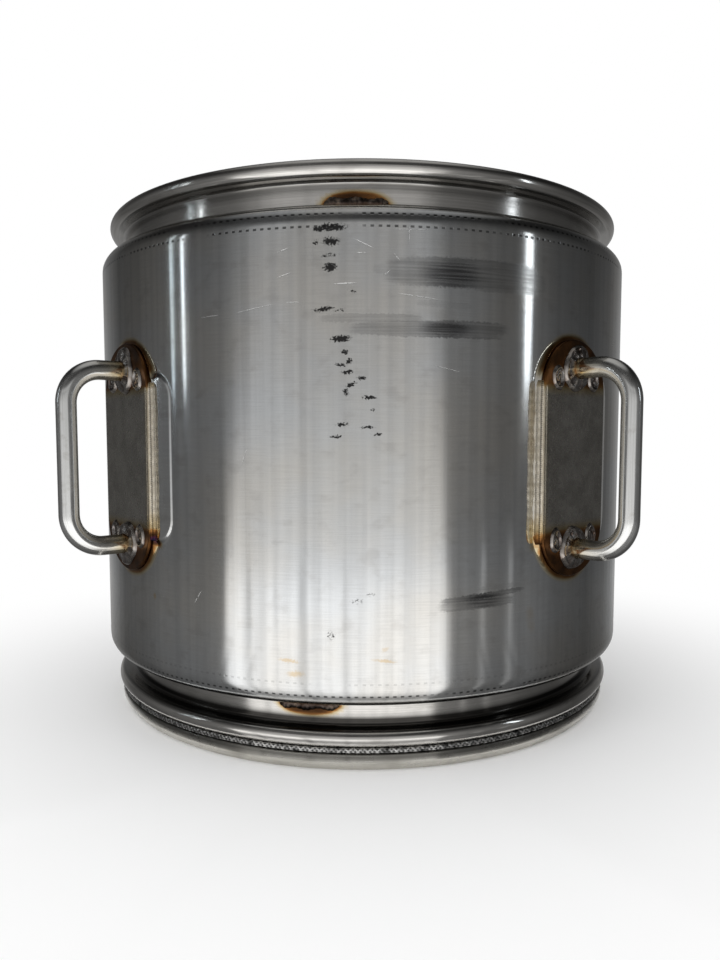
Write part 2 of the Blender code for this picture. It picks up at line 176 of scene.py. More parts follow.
def turned(name, profile, count=256, heat=None, grime=None):
    """Profile (r, z) carried round the axis, with heat(a, z) and a painted shade from (r, z) noted on its
    points.
    """
    a = around(count)[:, None]
    r, z = profile[None, :, 0], profile[None, :, 1]
    reach = np.append(a, math.pi)[:, None] * profile[:, 0].max()
    return grid_piece(name, placed(r, a, z), reach, run_length(profile, True)[None, :],
                      weld_heat=heat(a, z + 0 * a) if heat else 0.0, grime=grime(r, z) if grime else 0.0)


# %% [markdown]
# The sizes follow from the filter block, as they do in the solids: a 267 mm block, the mat and the
# can round it, then the flange sleeves, and the jacket outside the insulation.

# %% Sizes shared by the pieces
MIDDLE = 148.0 * MM
SHELL_RADIUS, SHELL_TOP, SHELL_BOTTOM = 160.0 * MM, 264.0 * MM, 32.0 * MM
SHELL_WALL, SHOULDER, MOUTH = 1.5 * MM, 10.5 * MM, 146.3 * MM
SLEEVE_RADIUS, FLANGE_WALL = 146.0 * MM, 1.6 * MM
BEAD_RADIUS, BEAD_HEIGHT = 155.0 * MM, 8.1 * MM
FACE, OUTLET_FACE = 284.1 * MM, 11.9 * MM
BLOCK_RADIUS, BLOCK_HALF = 133.35 * MM, 101.6 * MM
SEAT_PLANE, PLATE_BOTTOM, PLATE_TOP = 160.4 * MM, 160.7 * MM, 162.5 * MM
PLATE_HALF, PLATE_STRAIGHT = 25.5 * MM, 33.5 * MM
FOOT_LEVEL = 44.75 * MM
HANDLE_ANGLE = math.radians(45.0)
SIDES = (("right", HANDLE_ANGLE), ("left", -HANDLE_ANGLE))


def mirrored(profile):
    """The profile at the other end of the canister."""
    return profile * (1, -1) + (0, 2 * MIDDLE)


def smoothstep(x):
    """0 below 0, 1 above 1, and 3x^2 - 2x^3 between."""
    x = np.clip(x, 0.0, 1.0)
    return x * x * (3 - 2 * x)


# %% [markdown]
# Welding leaves colour on the steel beside it. How hot each point was is written on the meshes as a
# number from 0 to 1, under the name weld_heat, because the renderer keeps the name heat for volumes.
# x and y are measured on the shell about the middle of a handle plate.

# %% Heat round the plates
def rounded_distance(x, y, width, height, corner):
    """Signed distance to a rounded rectangle about (0, 0), negative inside."""
    dx = np.abs(x) - (width / 2 - corner)
    dy = np.abs(y) - (height / 2 - corner)
    outside = np.hypot(np.maximum(dx, 0), np.maximum(dy, 0))
    return outside + np.minimum(np.maximum(dx, dy), 0) - corner


def plate_distance(x, y):
    """Signed distance to a plate's obround edge."""
    return rounded_distance(x, y, 2 * PLATE_HALF, 2 * (PLATE_STRAIGHT + PLATE_HALF), PLATE_HALF)


def seam_side(angle):
    """Which long edge of a plate is seam welded: the one nearer the front."""
    return -1.0 if angle > 0 else 1.0


def seam_heat(x, y, angle):
    """Temper colour beside the seam: straw within 4 mm, hotter where the run was started low down."""
    across = np.abs(x - seam_side(angle) * PLATE_HALF) / (4.4 * MM)
    inside = smoothstep((38.0 * MM - np.abs(y + 2 * MM)) / (4 * MM))
    start = 0.16 * smoothstep((-y - 26 * MM) / (8 * MM))
    start = start + (0.34 if angle < 0 else 0.06) * smoothstep((-y - 36 * MM) / (3 * MM))
    inside = np.maximum(inside, smoothstep((start - 0.1) * 8) * smoothstep((46 * MM + y) / (4 * MM)))
    return (0.1 + start) * (1 - smoothstep(across)) ** 0.5 * inside


def end_heat(x, y):
    """Brown halo of the round plate ends, gone 4 mm outside the plate."""
    ends = smoothstep((np.abs(y) - 36 * MM) / (10 * MM))
    return 0.46 * (1 - smoothstep(plate_distance(x, y) / (4.2 * MM))) * ends


# %% [markdown]
# The jacket is a rolled sheet whose ends are spun in over rounded shoulders to a small turned-up lip
# at each mouth. Two flats are pressed outwards for the handle plates. On the grid, a point under a
# plate moves out until it meets the plate's plane, r = plane / cos(a), so the plate has metal under
# its whole edge. Beyond the plate the sheet slopes back towards the cylinder and drops the last half
# millimetre at a crease, as pressed sheet does.

# %% Pressed seats
SEAT_WIDTH, SEAT_LENGTH, SEAT_CORNER, SEAT_SHIFT = 66.0 * MM, 85.0 * MM, 13.0 * MM, 5.0 * MM
SEAT_EASE, CREASE = 0.7 * MM, 0.42 * MM


def seat_rise(x, y, a):
    """How far a seat stands off the cylinder: the plane's rise, capped by slopes to its sides."""
    plane = SEAT_PLANE / np.cos(a) - SHELL_RADIUS
    right, left = SEAT_SHIFT + SEAT_WIDTH / 2 - x, x - SEAT_SHIFT + SEAT_WIDTH / 2
    slopes = np.minimum(np.minimum(0.15 * right, 0.75 * left), 0.5 * (SEAT_LENGTH / 2 - np.abs(y)))
    distance = rounded_distance(x - SEAT_SHIFT, y, SEAT_WIDTH, SEAT_LENGTH, SEAT_CORNER)
    inside = smoothstep((SEAT_EASE - distance) / (2 * SEAT_EASE))
    seat = np.maximum(np.minimum(plane, CREASE + slopes), 0.0) * inside
    pad = 1 - smoothstep((plate_distance(x, y) - 0.2 * MM) / (2.4 * MM))
    return np.maximum(seat, plane * pad)


# %% [markdown]
# Rows and columns of the jacket are packed where the creases run, so the corners stay crisp without
# a heavy mesh. Rolled sheet isn't perfectly round either: it dips by a few hundredths of a
# millimetre in slow waves, which is what bends the reflections.

# %% Outer shell
LIP = np.array([(0.0, 0.9), (0.5, 1.3), (1.1, 1.3), (1.7, 0.8), (2.4, 0.2)]) * MM
SEAT_COLUMNS = np.array([-29.5, 39.5]) * MM
SEAT_ROWS = np.array([253.5, 210.5, 176.5, 119.5, 85.5, 42.5]) * MM
ROW_STEPS = np.array([3.0, 0.7, 3.0, 0.7, 3.0]) * MM


def graded(stops, spacings):
    """Values from the first stop to the last, each stretch divided at its own spacing."""
    parts = [np.linspace(a, b, max(2, int(round(abs(b - a) / s)) + 1))[:-1]
             for a, b, s in zip(stops[:-1], stops[1:], spacings)]
    return np.append(np.concatenate(parts), stops[-1])


def shell_profile():
    """Outer skin from the upper lip down to the lower one, then the inner skin back up."""
    bend = SHELL_RADIUS - SHOULDER
    high, low = (bend, SHELL_TOP - SHOULDER), (bend, SHELL_BOTTOM + SHOULDER)
    heights = graded(SEAT_ROWS, ROW_STEPS)[1:-1]
    side = np.stack([np.full(len(heights), SHELL_RADIUS), heights], 1)
    outer = np.concatenate([LIP + (MOUTH, SHELL_TOP), arc(high, SHOULDER, 90, 0, 12), side,
                            arc(low, SHOULDER, 0, -90, 12), (LIP * (1, -1) + (MOUTH, SHELL_BOTTOM))[::-1]])
    inside = SHOULDER - SHELL_WALL
    inner = np.concatenate([[(MOUTH, SHELL_BOTTOM + SHELL_WALL)], arc(low, inside, -90, 0, 5),
                            arc(high, inside, 0, 90, 5), [(MOUTH, SHELL_TOP - SHELL_WALL)]])
    return np.concatenate([outer, inner]), len(outer)


def make_outer_shell():
    """The profile carried round, moved out at the seats and in by the waves, with the welds' heat."""
    fine, coarse = math.radians(0.25), math.radians(1.2)
    right = HANDLE_ANGLE + np.arctan(SEAT_COLUMNS / SEAT_PLANE)
    a = graded([-math.pi, *(right - 2 * HANDLE_ANGLE), *right, math.pi],
               [coarse, fine, coarse, fine, coarse])[:-1, None]
    profile, outer_count = shell_profile()
    is_outer = (np.arange(len(profile)) < outer_count)[None, :]
    r, z = profile[None, :, 0] + 0 * a, profile[None, :, 1] + 0 * a
    wave = (np.sin(5 * a + 1.0) + 0.8 * np.sin(11 * a + z * 9) + 0.5 * np.sin(23 * a - z * 14 + 2.0)
            + 0.35 * np.sin(3 * a + z * 40)) / 2.65
    r = r - is_outer * 0.05 * MM * (1 + wave) * (r > SHELL_RADIUS - 0.1 * MM)
    heat = 0 * r
    for _, angle in SIDES:
        turn = np.clip(a - angle, -1.0, 1.0)
        x, y = SEAT_PLANE * np.tan(turn), z - MIDDLE
        r = r + seat_rise(x, y, turn) * is_outer
        heat = np.maximum(heat, np.maximum(seam_heat(x, y, angle), end_heat(x, y)) * is_outer)
    down = SHELL_TOP + (SHELL_RADIUS - MOUTH) - run_length(profile, True)
    return grid_piece("outer_jacket", placed(r, a, z), np.append(a, math.pi)[:, None] * SHELL_RADIUS,
                      down[None, :], weld_heat=heat)


shell = make_outer_shell()
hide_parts("outer_shell")

# %% [markdown]
# Each end of the canister is a pressed flange: a sleeve that turns out through a tight bend and is
# rolled back on itself into a bead, whose flat face seals. The bead is what a clamp grips. It is
# one sheet all the way, so one centreline gives it, and the lower flange is the same, upside down.
# Four stitch welds join each neck to the jacket, and each has browned an arch of the neck over it.

# %% Inlet and outlet flanges
STITCHES = {"upper": 3.1, "lower": -5.9}


def flange_centreline():
    """Up the sleeve, out through the bend, round the bead and back in along the face."""
    half = FLANGE_WALL / 2
    sleeve, bend = SLEEVE_RADIUS - half, 2.6 * MM
    underside = FACE - BEAD_HEIGHT + half
    curl = (BEAD_HEIGHT - FLANGE_WALL) / 2
    start = np.stack([np.full(12, sleeve), np.linspace(256.0 * MM, underside - bend, 13)[:-1]], 1)
    corner = arc((sleeve + bend, underside - bend), bend, 180, 90, 10)
    bead = arc((BEAD_RADIUS - half - curl, FACE - half - curl), curl, -90, 90, 22)
    face = np.stack([np.linspace(bead[-1, 0], sleeve, 6)[1:], np.full(5, FACE - half)], 1)
    return np.concatenate([start, corner, bead, face])


def neck_heat(a, z):
    """Brown arch over each stitch weld: a superellipse 38 mm wide and 9 mm high, four times round."""
    rise = np.where(z > MIDDLE, z - SHELL_TOP, SHELL_BOTTOM - z) / (8.6 * MM)
    first = np.radians(np.where(z > MIDDLE, STITCHES["upper"], STITCHES["lower"]))
    turn = (a - first + math.pi / 4) % (math.pi / 2) - math.pi / 4
    reach = (np.abs(turn * SLEEVE_RADIUS / (19 * MM)) ** 2.6 + np.abs(rise) ** 2.2) ** 0.4
    return 0.5 * (1 - smoothstep((reach - 0.72) / 0.3)) * (np.abs(rise) < 1.2)


def bead_grime(r, z):
    """Painted shade in the fillet between a neck and its bead, stronger on the outlet flange."""
    depth = np.minimum(np.abs(FACE - z), np.abs(z - OUTLET_FACE))
    fillet = smoothstep((13.5 * MM - depth) / (1.5 * MM)) * smoothstep((depth - 5.6 * MM) / (1.2 * MM))
    return np.where(z < MIDDLE, 1.0, 0.45) * fillet * smoothstep((154.2 * MM - r) / (1.6 * MM))


# The fillet under each bead carries a painted shade, noted on the flange's mesh.
flange_profile = walled(flange_centreline(), FLANGE_WALL)
inlet_flange = turned("inlet_bead_flange", flange_profile, 400, neck_heat, bead_grime)
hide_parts("inlet_flange")
outlet_flange = turned("outlet_bead_flange", mirrored(flange_profile), 400, neck_heat, bead_grime)
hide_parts("outlet_flange")

# %% [markdown]
# The gasket is knitted wire pressed into a flat ring. Two sets of strands climb it in opposite
# directions, and each rides over the other in turn. The skin's height is the higher of two rounded
# ridges, cos of (u + w) and cos of (u - w), and a checkerboard of the two decides which is on top.

# %% Braided gasket
GASKET_TOP, GASKET_BOTTOM, GASKET_OUTER, GASKET_INNER = 11.6 * MM, 9.0 * MM, 153.0 * MM, 146.6 * MM
STRAND_ROUND, STRAND_UP, STRAND_DEPTH = 1.15 * MM, 1.3 * MM, 0.45 * MM


def make_gasket():
    """Rounded section carried round, its skin drawn in towards the section's middle by the weave."""
    edge = 0.9 * MM
    profile = split(np.concatenate([[(GASKET_INNER, GASKET_TOP)],
                                    arc((GASKET_OUTER - edge, GASKET_TOP - edge), edge, 90, 0, 5),
                                    arc((GASKET_OUTER - edge, GASKET_BOTTOM + edge), edge, 0, -90, 5),
                                    [(GASKET_INNER, GASKET_BOTTOM)]]), 1.0 * MM)
    a = around(2200)[:, None]
    v = run_length(profile, True)[None, :]
    u, w = a * GASKET_OUTER / STRAND_ROUND, v[:, :-1] / STRAND_UP
    one, two = (np.abs(np.cos((u + way * w) * math.pi / 2)) for way in (1, -1))
    over = np.where(np.sin(u * math.pi / 2) * np.sin(w * math.pi / 2) > 0, one, two)
    height = np.maximum(np.maximum(one, two) * 0.7, over)
    away = profile - ((GASKET_OUTER + GASKET_INNER) / 2, (GASKET_TOP + GASKET_BOTTOM) / 2)
    away /= np.linalg.norm(away, axis=1, keepdims=True)
    section = profile[None] - away[None] * (1 - height)[..., None] * STRAND_DEPTH
    return grid_piece("braided_gasket", placed(section[..., 0], a, section[..., 1]),
                      np.append(a, math.pi)[:, None] * GASKET_OUTER, v, wire_height=height)


gasket = make_gasket()
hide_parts("flange_gasket")

# %% [markdown]
# Under the gasket sits the pilot collar, a turned ring with a tapered rim and a spigot that centres
# the outlet in the pipe it is clamped to. Its rim carries a painted shade down from under the gasket.

# %% Pilot collar
collar_profile = np.concatenate([
    [(142.3 * MM, 24.7 * MM)], arc((143.5 * MM, 24.1 * MM), 0.6 * MM, 90, 0, 4),
    [(144.1 * MM, 8.7 * MM)], arc((152.6 * MM, 8.1 * MM), 0.6 * MM, 90, 0, 4),
    arc((152.8 * MM, 4.8 * MM), 0.4 * MM, 0, -35, 3), arc((149.6 * MM, 0.6 * MM), 0.6 * MM, -30, -90, 4),
    [(142.3 * MM, 0.0)]])


def rim_grime(r, z):
    """Painted shade under the gasket, down the upper half of the rim."""
    return 0.62 * smoothstep((z - 4.4 * MM) / (2.6 * MM)) * smoothstep((r - 150 * MM) / (2 * MM))


pilot_collar = turned("tapered_collar", split(collar_profile, 1.2 * MM), 288, grime=rim_grime)
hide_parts("pilot_collar")

# %% [markdown]
# Inside is the can, a tube that holds the filter block in its mat. It is drawn in round the block
# and left full size at its ends, where it meets the flange sleeves. Two L-section rings keep the mat
# from blowing out.

# %% Filter can and retaining rings
CAN_WALL, RING_WALL = 1.5 * MM, 1.5 * MM
can_half = np.array([(144.1, 268.0), (144.1, 257.5), (143.7, 255.0), (140.6, 251.6), (140.2, 250.0)]) * MM
can_outer = np.concatenate([can_half, mirrored(can_half)[::-1]])
can_inner = (can_outer - (CAN_WALL, 0))[::-1]
filter_can = turned("filter_can_tube", split(np.concatenate([can_outer, can_inner]), 12 * MM), 192)
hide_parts("filter_can")

ring_path = np.concatenate([[(137.65 * MM, 242.4 * MM)], arc((136.0 * MM, 249.0 * MM), 1.65 * MM, 0, 90, 6),
                            [(128.95 * MM, 250.65 * MM)]])
ring_profile = walled(ring_path, RING_WALL)
upper_ring = turned("upper_mat_ring", ring_profile, 192)
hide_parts("upper_retaining_ring")
lower_ring = turned("lower_mat_ring", mirrored(ring_profile), 192)
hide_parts("lower_retaining_ring")

# %% [markdown]
# Each handle is a round bar bent twice. Its centreline runs in the plane through the canister's
# axis: out from the plate, round a bend, down the grip and back. The tube's section is a circle
# square to that line, and the two ends close to a point inside the weld.

# %% Handles
GRIP_REACH, BAR_BEND, BAR_RADIUS = 193.0 * MM, 17.0 * MM, 5.0 * MM


def facing(angle, x, y, out):
    """Point x along the shell, y above the middle and out from the axis, at a handle's angle."""
    return np.stack([x * math.cos(angle) + out * math.sin(angle),
                     x * math.sin(angle) - out * math.cos(angle), y + MIDDLE], -1)


def make_handle(side, angle):
    """Centreline plus radius * (cos t * x + sin t * normal), t round the bar."""
    foot, corner = PLATE_TOP - 0.2 * MM, (GRIP_REACH - BAR_BEND, FOOT_LEVEL - BAR_BEND)
    leg = np.stack([np.linspace(foot, corner[0], 10)[:-1], np.full(9, FOOT_LEVEL)], 1)
    grip = np.stack([np.full(13, GRIP_REACH), np.linspace(corner[1], 0, 14)[1:]], 1)
    upper = np.concatenate([leg, arc(corner, BAR_BEND, 90, 0, 24), grip])
    path = np.concatenate([upper, (upper * (1, -1))[::-1][1:]])
    path, normal = (np.concatenate([rows[:1], rows, rows[-1:]]) for rows in (path, normals(path)))
    size = np.full((len(path), 1), BAR_RADIUS)
    size[[0, -1]] = 0.0
    t = np.linspace(0, 2 * math.pi, 41)[None, :]
    swing = size * np.sin(t[:, :-1])
    length = run_length(path)[:, None]
    from_foot = np.minimum(length, length[-1] - length)
    points = facing(angle, size * np.cos(t[:, :-1]), path[:, 1:] + normal[:, 1:] * swing,
                    path[:, :1] + normal[:, :1] * swing)
    piece = grid_piece(side + "_bar_handle", points, length, t * BAR_RADIUS, wrap=(False, True),
                       weld_heat=0.5 * np.exp(-from_foot / (6 * MM)))
    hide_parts(side + "_handle")
    return piece


handles = [make_handle(side, angle) for side, angle in SIDES]

# %% [markdown]
# Between handle and shell lies an obround doubler plate. Its outline is a straight stretch with a
# half circle at each end: each point is its nearest point on the centre segment plus half the width
# along the normal. Drawing that in ring by ring closes the face on the segment itself.

# %% Handle plates
PLATE_EDGE = 0.8 * MM


def make_plate(side, angle):
    """Rings of the obround, from the underside's segment out round the edge to the top's segment."""
    bends = np.radians(np.linspace(0, 180, 91))
    bow = np.stack([np.cos(bends), np.sin(bends)], 1)
    heights = np.linspace(PLATE_STRAIGHT, -PLATE_STRAIGHT, 61)[1:-1]
    normal = np.concatenate([bow, np.tile((-1.0, 0.0), (59, 1)), -bow, np.tile((1.0, 0.0), (59, 1))])
    spine = np.concatenate([np.full(91, PLATE_STRAIGHT), heights, np.full(91, -PLATE_STRAIGHT), -heights])
    flat = PLATE_HALF - PLATE_EDGE
    section = np.concatenate([[(share * PLATE_HALF, PLATE_BOTTOM) for share in (0.0, 0.5, 1.0)],
                              arc((flat, PLATE_TOP - PLATE_EDGE), PLATE_EDGE, 0, 90, 5),
                              np.stack([np.linspace(flat, 0, 26)[1:], np.full(25, PLATE_TOP)], 1)])
    x = normal[:, :1] * section[:, 0]
    y = spine[:, None] + normal[:, 1:] * section[:, 0]
    ring = run_length(np.stack([x[:, 2], y[:, 2]], 1), True)
    heat = np.maximum(seam_heat(x, y, angle), 0.45 * smoothstep((np.abs(y) - 30 * MM) / (9 * MM)))
    piece = grid_piece(side + "_doubler_plate", facing(angle, x, y, section[:, 1] + 0 * x),
                       ring[:, None], section[None, :, 0], wrap=(True, False), weld_heat=heat)
    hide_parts(side + "_handle_plate")
    return piece


plates = [make_plate(side, angle) for side, angle in SIDES]

# %% [markdown]
# A weld is metal that froze as it was laid. The run round a handle's foot is a ring whose toe
# wanders and whose back carries the crescent ripples of each pulse of the torch. The plug welds are
# nuggets that shrank as they cooled: a raised lip round a dished middle. Both are grids of angle
# and radius, with the lumps written as sums of sines, so they are the same in each run. The note
# bright marks the toes, the crests and the plugs' middles, where the finish paints a highlight.

# %% Handle welds
PLUG_ACROSS, PLUG_LEVEL = 14.75 * MM, 39.75 * MM
WELD_BASE, WELD_ROOT = PLATE_TOP - 0.1 * MM, PLATE_TOP - 0.4 * MM


def lumps(t, seed, size):
    """Slow irregularity round a weld: sines of 2, 3, 5 and 8 turns with phases from the seed."""
    return size * (0.45 * np.sin(2 * t + seed * 1.7) + 0.3 * np.sin(3 * t + seed * 2.9)
                   + 0.12 * np.sin(5 * t + seed * 4.3) + 0.05 * np.sin(8 * t + seed * 6.1))


def weld_patch(name, place, squash, theta, reach, height, root, v, bright, wrap):
    """Grid of angle and radius over a plate, closed below by one more ring at the weld's root."""
    angle, across, level = place
    ring = np.full_like(theta, root)
    reach = np.append(reach, ring, 1)
    out = np.append(WELD_BASE + height, np.full_like(theta, WELD_ROOT), 1)
    points = facing(angle, across + reach * np.cos(theta) * squash[0],
                    level + reach * np.sin(theta) * squash[1], out)
    around_it = np.append(theta, 2 * math.pi)[:, None]
    return grid_piece(name, points, around_it * v[0], v[1][None, :], wrap,
                      bright=np.append(bright, 0 * theta, 1))


def fillet_run(name, angle, level, seed):
    """Ring round the bar: height crown * (1 - t^1.6)^0.8, plus ripples that curve across it."""
    theta = np.linspace(0, 2 * math.pi, 161)[:-1][:, None]
    t = np.linspace(0, 1, 26)[None, :]
    bar = 4.6 * MM
    leg = 5.9 * MM * (1 + lumps(theta, seed, 0.22))
    crown = 2.9 * MM * (1 + lumps(theta, seed + 2.3, 0.25))
    pulse = 0.5 + 0.5 * np.sin(theta * 11 + 5.5 * (t - 0.5) ** 2 + seed)
    ripple = 0.34 * MM * pulse ** 2 * np.sin(math.pi * t) ** 0.7
    roll = 0.75 * MM * np.exp(-((t - 0.8) / 0.13) ** 2)
    height = crown * (1 - t ** 1.6) ** 0.8 + (ripple + roll) * (1 - t ** 8) ** 0.5
    height[:, -1] = WELD_ROOT - WELD_BASE
    # Painted highlight on the toe and on the ripple crests.
    bright = np.exp(-((t - 0.86) / 0.07) ** 2) + 0.35 * pulse * (t < 0.75)
    v = (8 * MM, np.append(t[0] * 6 * MM, [8 * MM, 9 * MM]))
    return weld_patch(name, (angle, 0.0, level), (1.0, 1.12), theta, bar + leg * t, height, bar, v,
                      bright, (True, True))


def plug_nugget(name, angle, across, level, seed):
    """Disc with a raised lip and a dished middle, its outline pulled about by the lumps."""
    theta = np.linspace(0, 2 * math.pi, 97)[:-1][:, None]
    t = np.linspace(0, 1, 24)[None, :]
    size = 5.6 * MM * (1 + lumps(theta, seed, 0.1))
    dish = 1.15 * MM * np.exp(-((t - 0.76) / 0.16) ** 2) + 0.3 * MM * (1 - t ** 2)
    swirl = 0.2 * MM * np.sin(theta * 2 + 11 * t + seed) * t * (1 - t) * 4 * (t < 0.7)
    height = (dish + swirl) * np.clip((1 - t) / 0.06, 0, 1) ** 0.5
    # Painted highlight round the lip and in the middle of the dish.
    bright = np.exp(-((t - 0.84) / 0.09) ** 2) + 0.5 * np.exp(-(t / 0.3) ** 2) + 0 * theta
    v = (5 * MM, np.append(t[0] * 5 * MM, 10 * MM))
    return weld_patch(name, (angle, across, level), (0.86, 1.12), theta, size * t, height, 0.0, v,
                      bright, (True, False))


weld_pieces = []
for side, angle in SIDES:
    for level, place in ((1, "_upper"), (-1, "_lower")):
        seed = angle * 3 + level * 1.4
        weld_pieces.append(fillet_run(side + place + "_foot_weld", angle, level * FOOT_LEVEL, seed))
        for across, label in ((1, "a"), (-1, "b")):
            weld_pieces.append(plug_nugget(side + place + "_plug_weld_" + label, angle, across * PLUG_ACROSS,
                                           level * PLUG_LEVEL, seed + across * 2.1))

# %% [markdown]
# Two more kinds of weld are beads carried along a line. Short stitches join the necks to the jacket,
# a quarter turn apart, and one straight seam closes the rolled jacket at the back. A bead is half a
# circle of height sin(pi t), tapered at its ends and pulsed along its length.

# %% Stitches and the jacket's back seam
BACK_SEAM = math.radians(172.0)


def bead_weld(name, line, up, aside, width, height, pulse, seed):
    """Bead along a line: aside * width/2 * cos(pi t) + up * height * sin(pi t), in pulses."""
    s = run_length(line)[:, None]
    t = np.linspace(0, 1, 13)[None, :]
    ends = np.clip(np.minimum(s, s[-1] - s) / (width * 0.7), 0, 1) ** 0.5
    wander = 1 + 0.16 * np.sin(s / pulse * 1.3 + seed) + 0.1 * np.sin(s / pulse * 0.41 + 2 * seed)
    beat = 1 + 0.22 * np.abs(np.sin(math.pi * (s / pulse + 0.35 * np.sin(math.pi * t))))
    w = width / 2 * ends * wander * -np.cos(math.pi * t)
    h = height * ends * wander * beat * np.sin(math.pi * t)
    top = line[:, None] + aside[:, None] * w[..., None] + up[:, None] * h[..., None]
    under = line[:, None] - up[:, None] * 0.3 * MM * ends[..., None]
    v = np.append(t[0], [1.4, 2.0]) * width
    # Painted highlight along both toes of the bead.
    bright = np.append(np.abs(np.cos(math.pi * t[0])) ** 3, 0.0)[None, :]
    return grid_piece(name, np.concatenate([top, under], 1), s, v[None, :], wrap=(False, True), bright=bright)


def neck_stitch(name, turn, level, rise):
    """Stitch in the corner between neck and jacket, centred on an angle."""
    a = np.linspace(-5.9, 5.9, 90)
    wobble = 0.2 * MM * np.sin(a * 1.3 + turn)
    ring = placed(1.0, np.radians(a) + turn, 0.0)
    tall = np.array([0.0, 0.0, 1.0])
    line = ring * (SLEEVE_RADIUS + 0.3 * MM) + tall * (level + wobble)[:, None]
    return bead_weld(name, line, ring * 0.8 + tall * rise * 0.6, ring * 0.6 - tall * rise * 0.8,
                     5.0 * MM, 1.9 * MM, 2.4 * MM, turn)


def make_back_seam():
    """Straight bead down the jacket, a few degrees off the rear."""
    z = np.linspace(SHELL_TOP - 12 * MM, SHELL_BOTTOM + 12 * MM, 420)
    line = placed(SHELL_RADIUS - 0.15 * MM, BACK_SEAM + 0 * z, z)
    up, aside = (placed(1.0, BACK_SEAM + quarter * math.pi / 2 + 0 * z, 0.0) for quarter in (0, 1))
    return bead_weld("jacket_back_seam", line, up, aside, 3.0 * MM, 0.45 * MM, 1.2 * MM, 0.4)


stitches = [neck_stitch("{}_neck_stitch_{}".format(end, k + 1), math.radians(STITCHES[end] + 90 * k),
                        edge + rise * 2.0 * MM, rise)
            for k in range(4) for end, edge, rise in (("upper", SHELL_TOP, 1), ("lower", SHELL_BOTTOM, -1))]

# %% [markdown]
# A seam runs down the front edge of each plate. It is a smooth fillet from the plate down to the
# seat, with a line of craters along it where the arc was pulsed. Its heat was greatest low down,
# where the run was started. The note groove marks the craters.

# %% Plate seam welds
SEAM_HIGH, SEAM_LOW = 38 * MM, -41 * MM


def make_seam(side, angle):
    """Fillet from plate to seat: half a cosine wave down, a 0.3 mm belly, and a row of craters."""
    y = np.linspace(SEAM_LOW, SEAM_HIGH, 320)[:, None]
    t = np.linspace(0, 1, 21)[None, :]
    ends = np.clip(np.minimum(y - SEAM_LOW, SEAM_HIGH - y) / (3 * MM), 0, 1) ** 0.5
    edge = 1 + 0.03 * np.sin(y / (3.1 * MM)) + 0.012 * np.sin(y / (0.7 * MM) + 1)
    x = 23.4 * MM + 5.6 * MM * t * edge * (0.7 + 0.3 * ends)
    seat = 160.3 * MM - 0.12 * np.maximum(x - PLATE_HALF, 0)
    crater = 0.5 + 0.5 * np.sin(2 * math.pi * (y / (0.95 * MM) + 0.12 * np.cos(math.pi * t)))
    groove = np.exp(-((t - 0.5) / 0.06) ** 2) * (0.35 + 0.65 * crater)
    fall = 0.5 - 0.5 * np.cos(math.pi * t ** 0.8)
    out = (PLATE_TOP + 0.12 * MM) * (1 - fall) + seat * fall + 0.3 * MM * np.sin(math.pi * t)
    out = out - 0.25 * MM * groove + 0.05 * MM * crater * np.sin(math.pi * t)
    out = seat - 0.5 * MM + (out - seat + 0.5 * MM) * (0.6 + 0.4 * ends)
    x = np.concatenate([x, x[:, :1] + 4 * MM, x[:, :1] + 0.5 * MM], 1) * seam_side(angle)
    out = np.concatenate([out, np.full((320, 2), 159.6 * MM)], 1)
    v = np.append(t[0] * 6 * MM, [8 * MM, 12 * MM, 14 * MM])
    low = np.maximum(-y - 25 * MM, 0) / MM
    heat = 0.05 + 0.02 * low + (0.062 if angle < 0 else 0.02) * np.maximum(low - 9, 0) + 0 * t
    heat = heat + 0.15 * smoothstep((y - 34 * MM) / (3 * MM))
    heat, groove = (np.pad(note, ((0, 0), (0, 2))) for note in (heat, groove))
    return grid_piece(side + "_plate_seam_weld", facing(angle, x, y + 0 * x, out), y, v[None, :],
                      wrap=(False, True), weld_heat=heat, groove=groove)


seams = [make_seam(side, angle) for side, angle in SIDES]
back_seam = make_back_seam()

# %% [markdown]
# The filter itself is a wall-flow honeycomb of cordierite: square channels 2.5 mm apart, every other
# one plugged, so the gas has to pass through the porous walls. Each face is a lattice of lines at the
# channel walls. A cell is sunk to a floor where it is open and only just below the face where it is
# plugged, so the sheet of walls, channel sides and floors is one height field on a doubled grid.

# %% Honeycomb filter block
CHANNEL_PITCH, CHANNEL_WALL, CHANNEL_DEPTH, PLUG_DEPTH = 2.54 * MM, 0.5 * MM, 7.0 * MM, 0.25 * MM


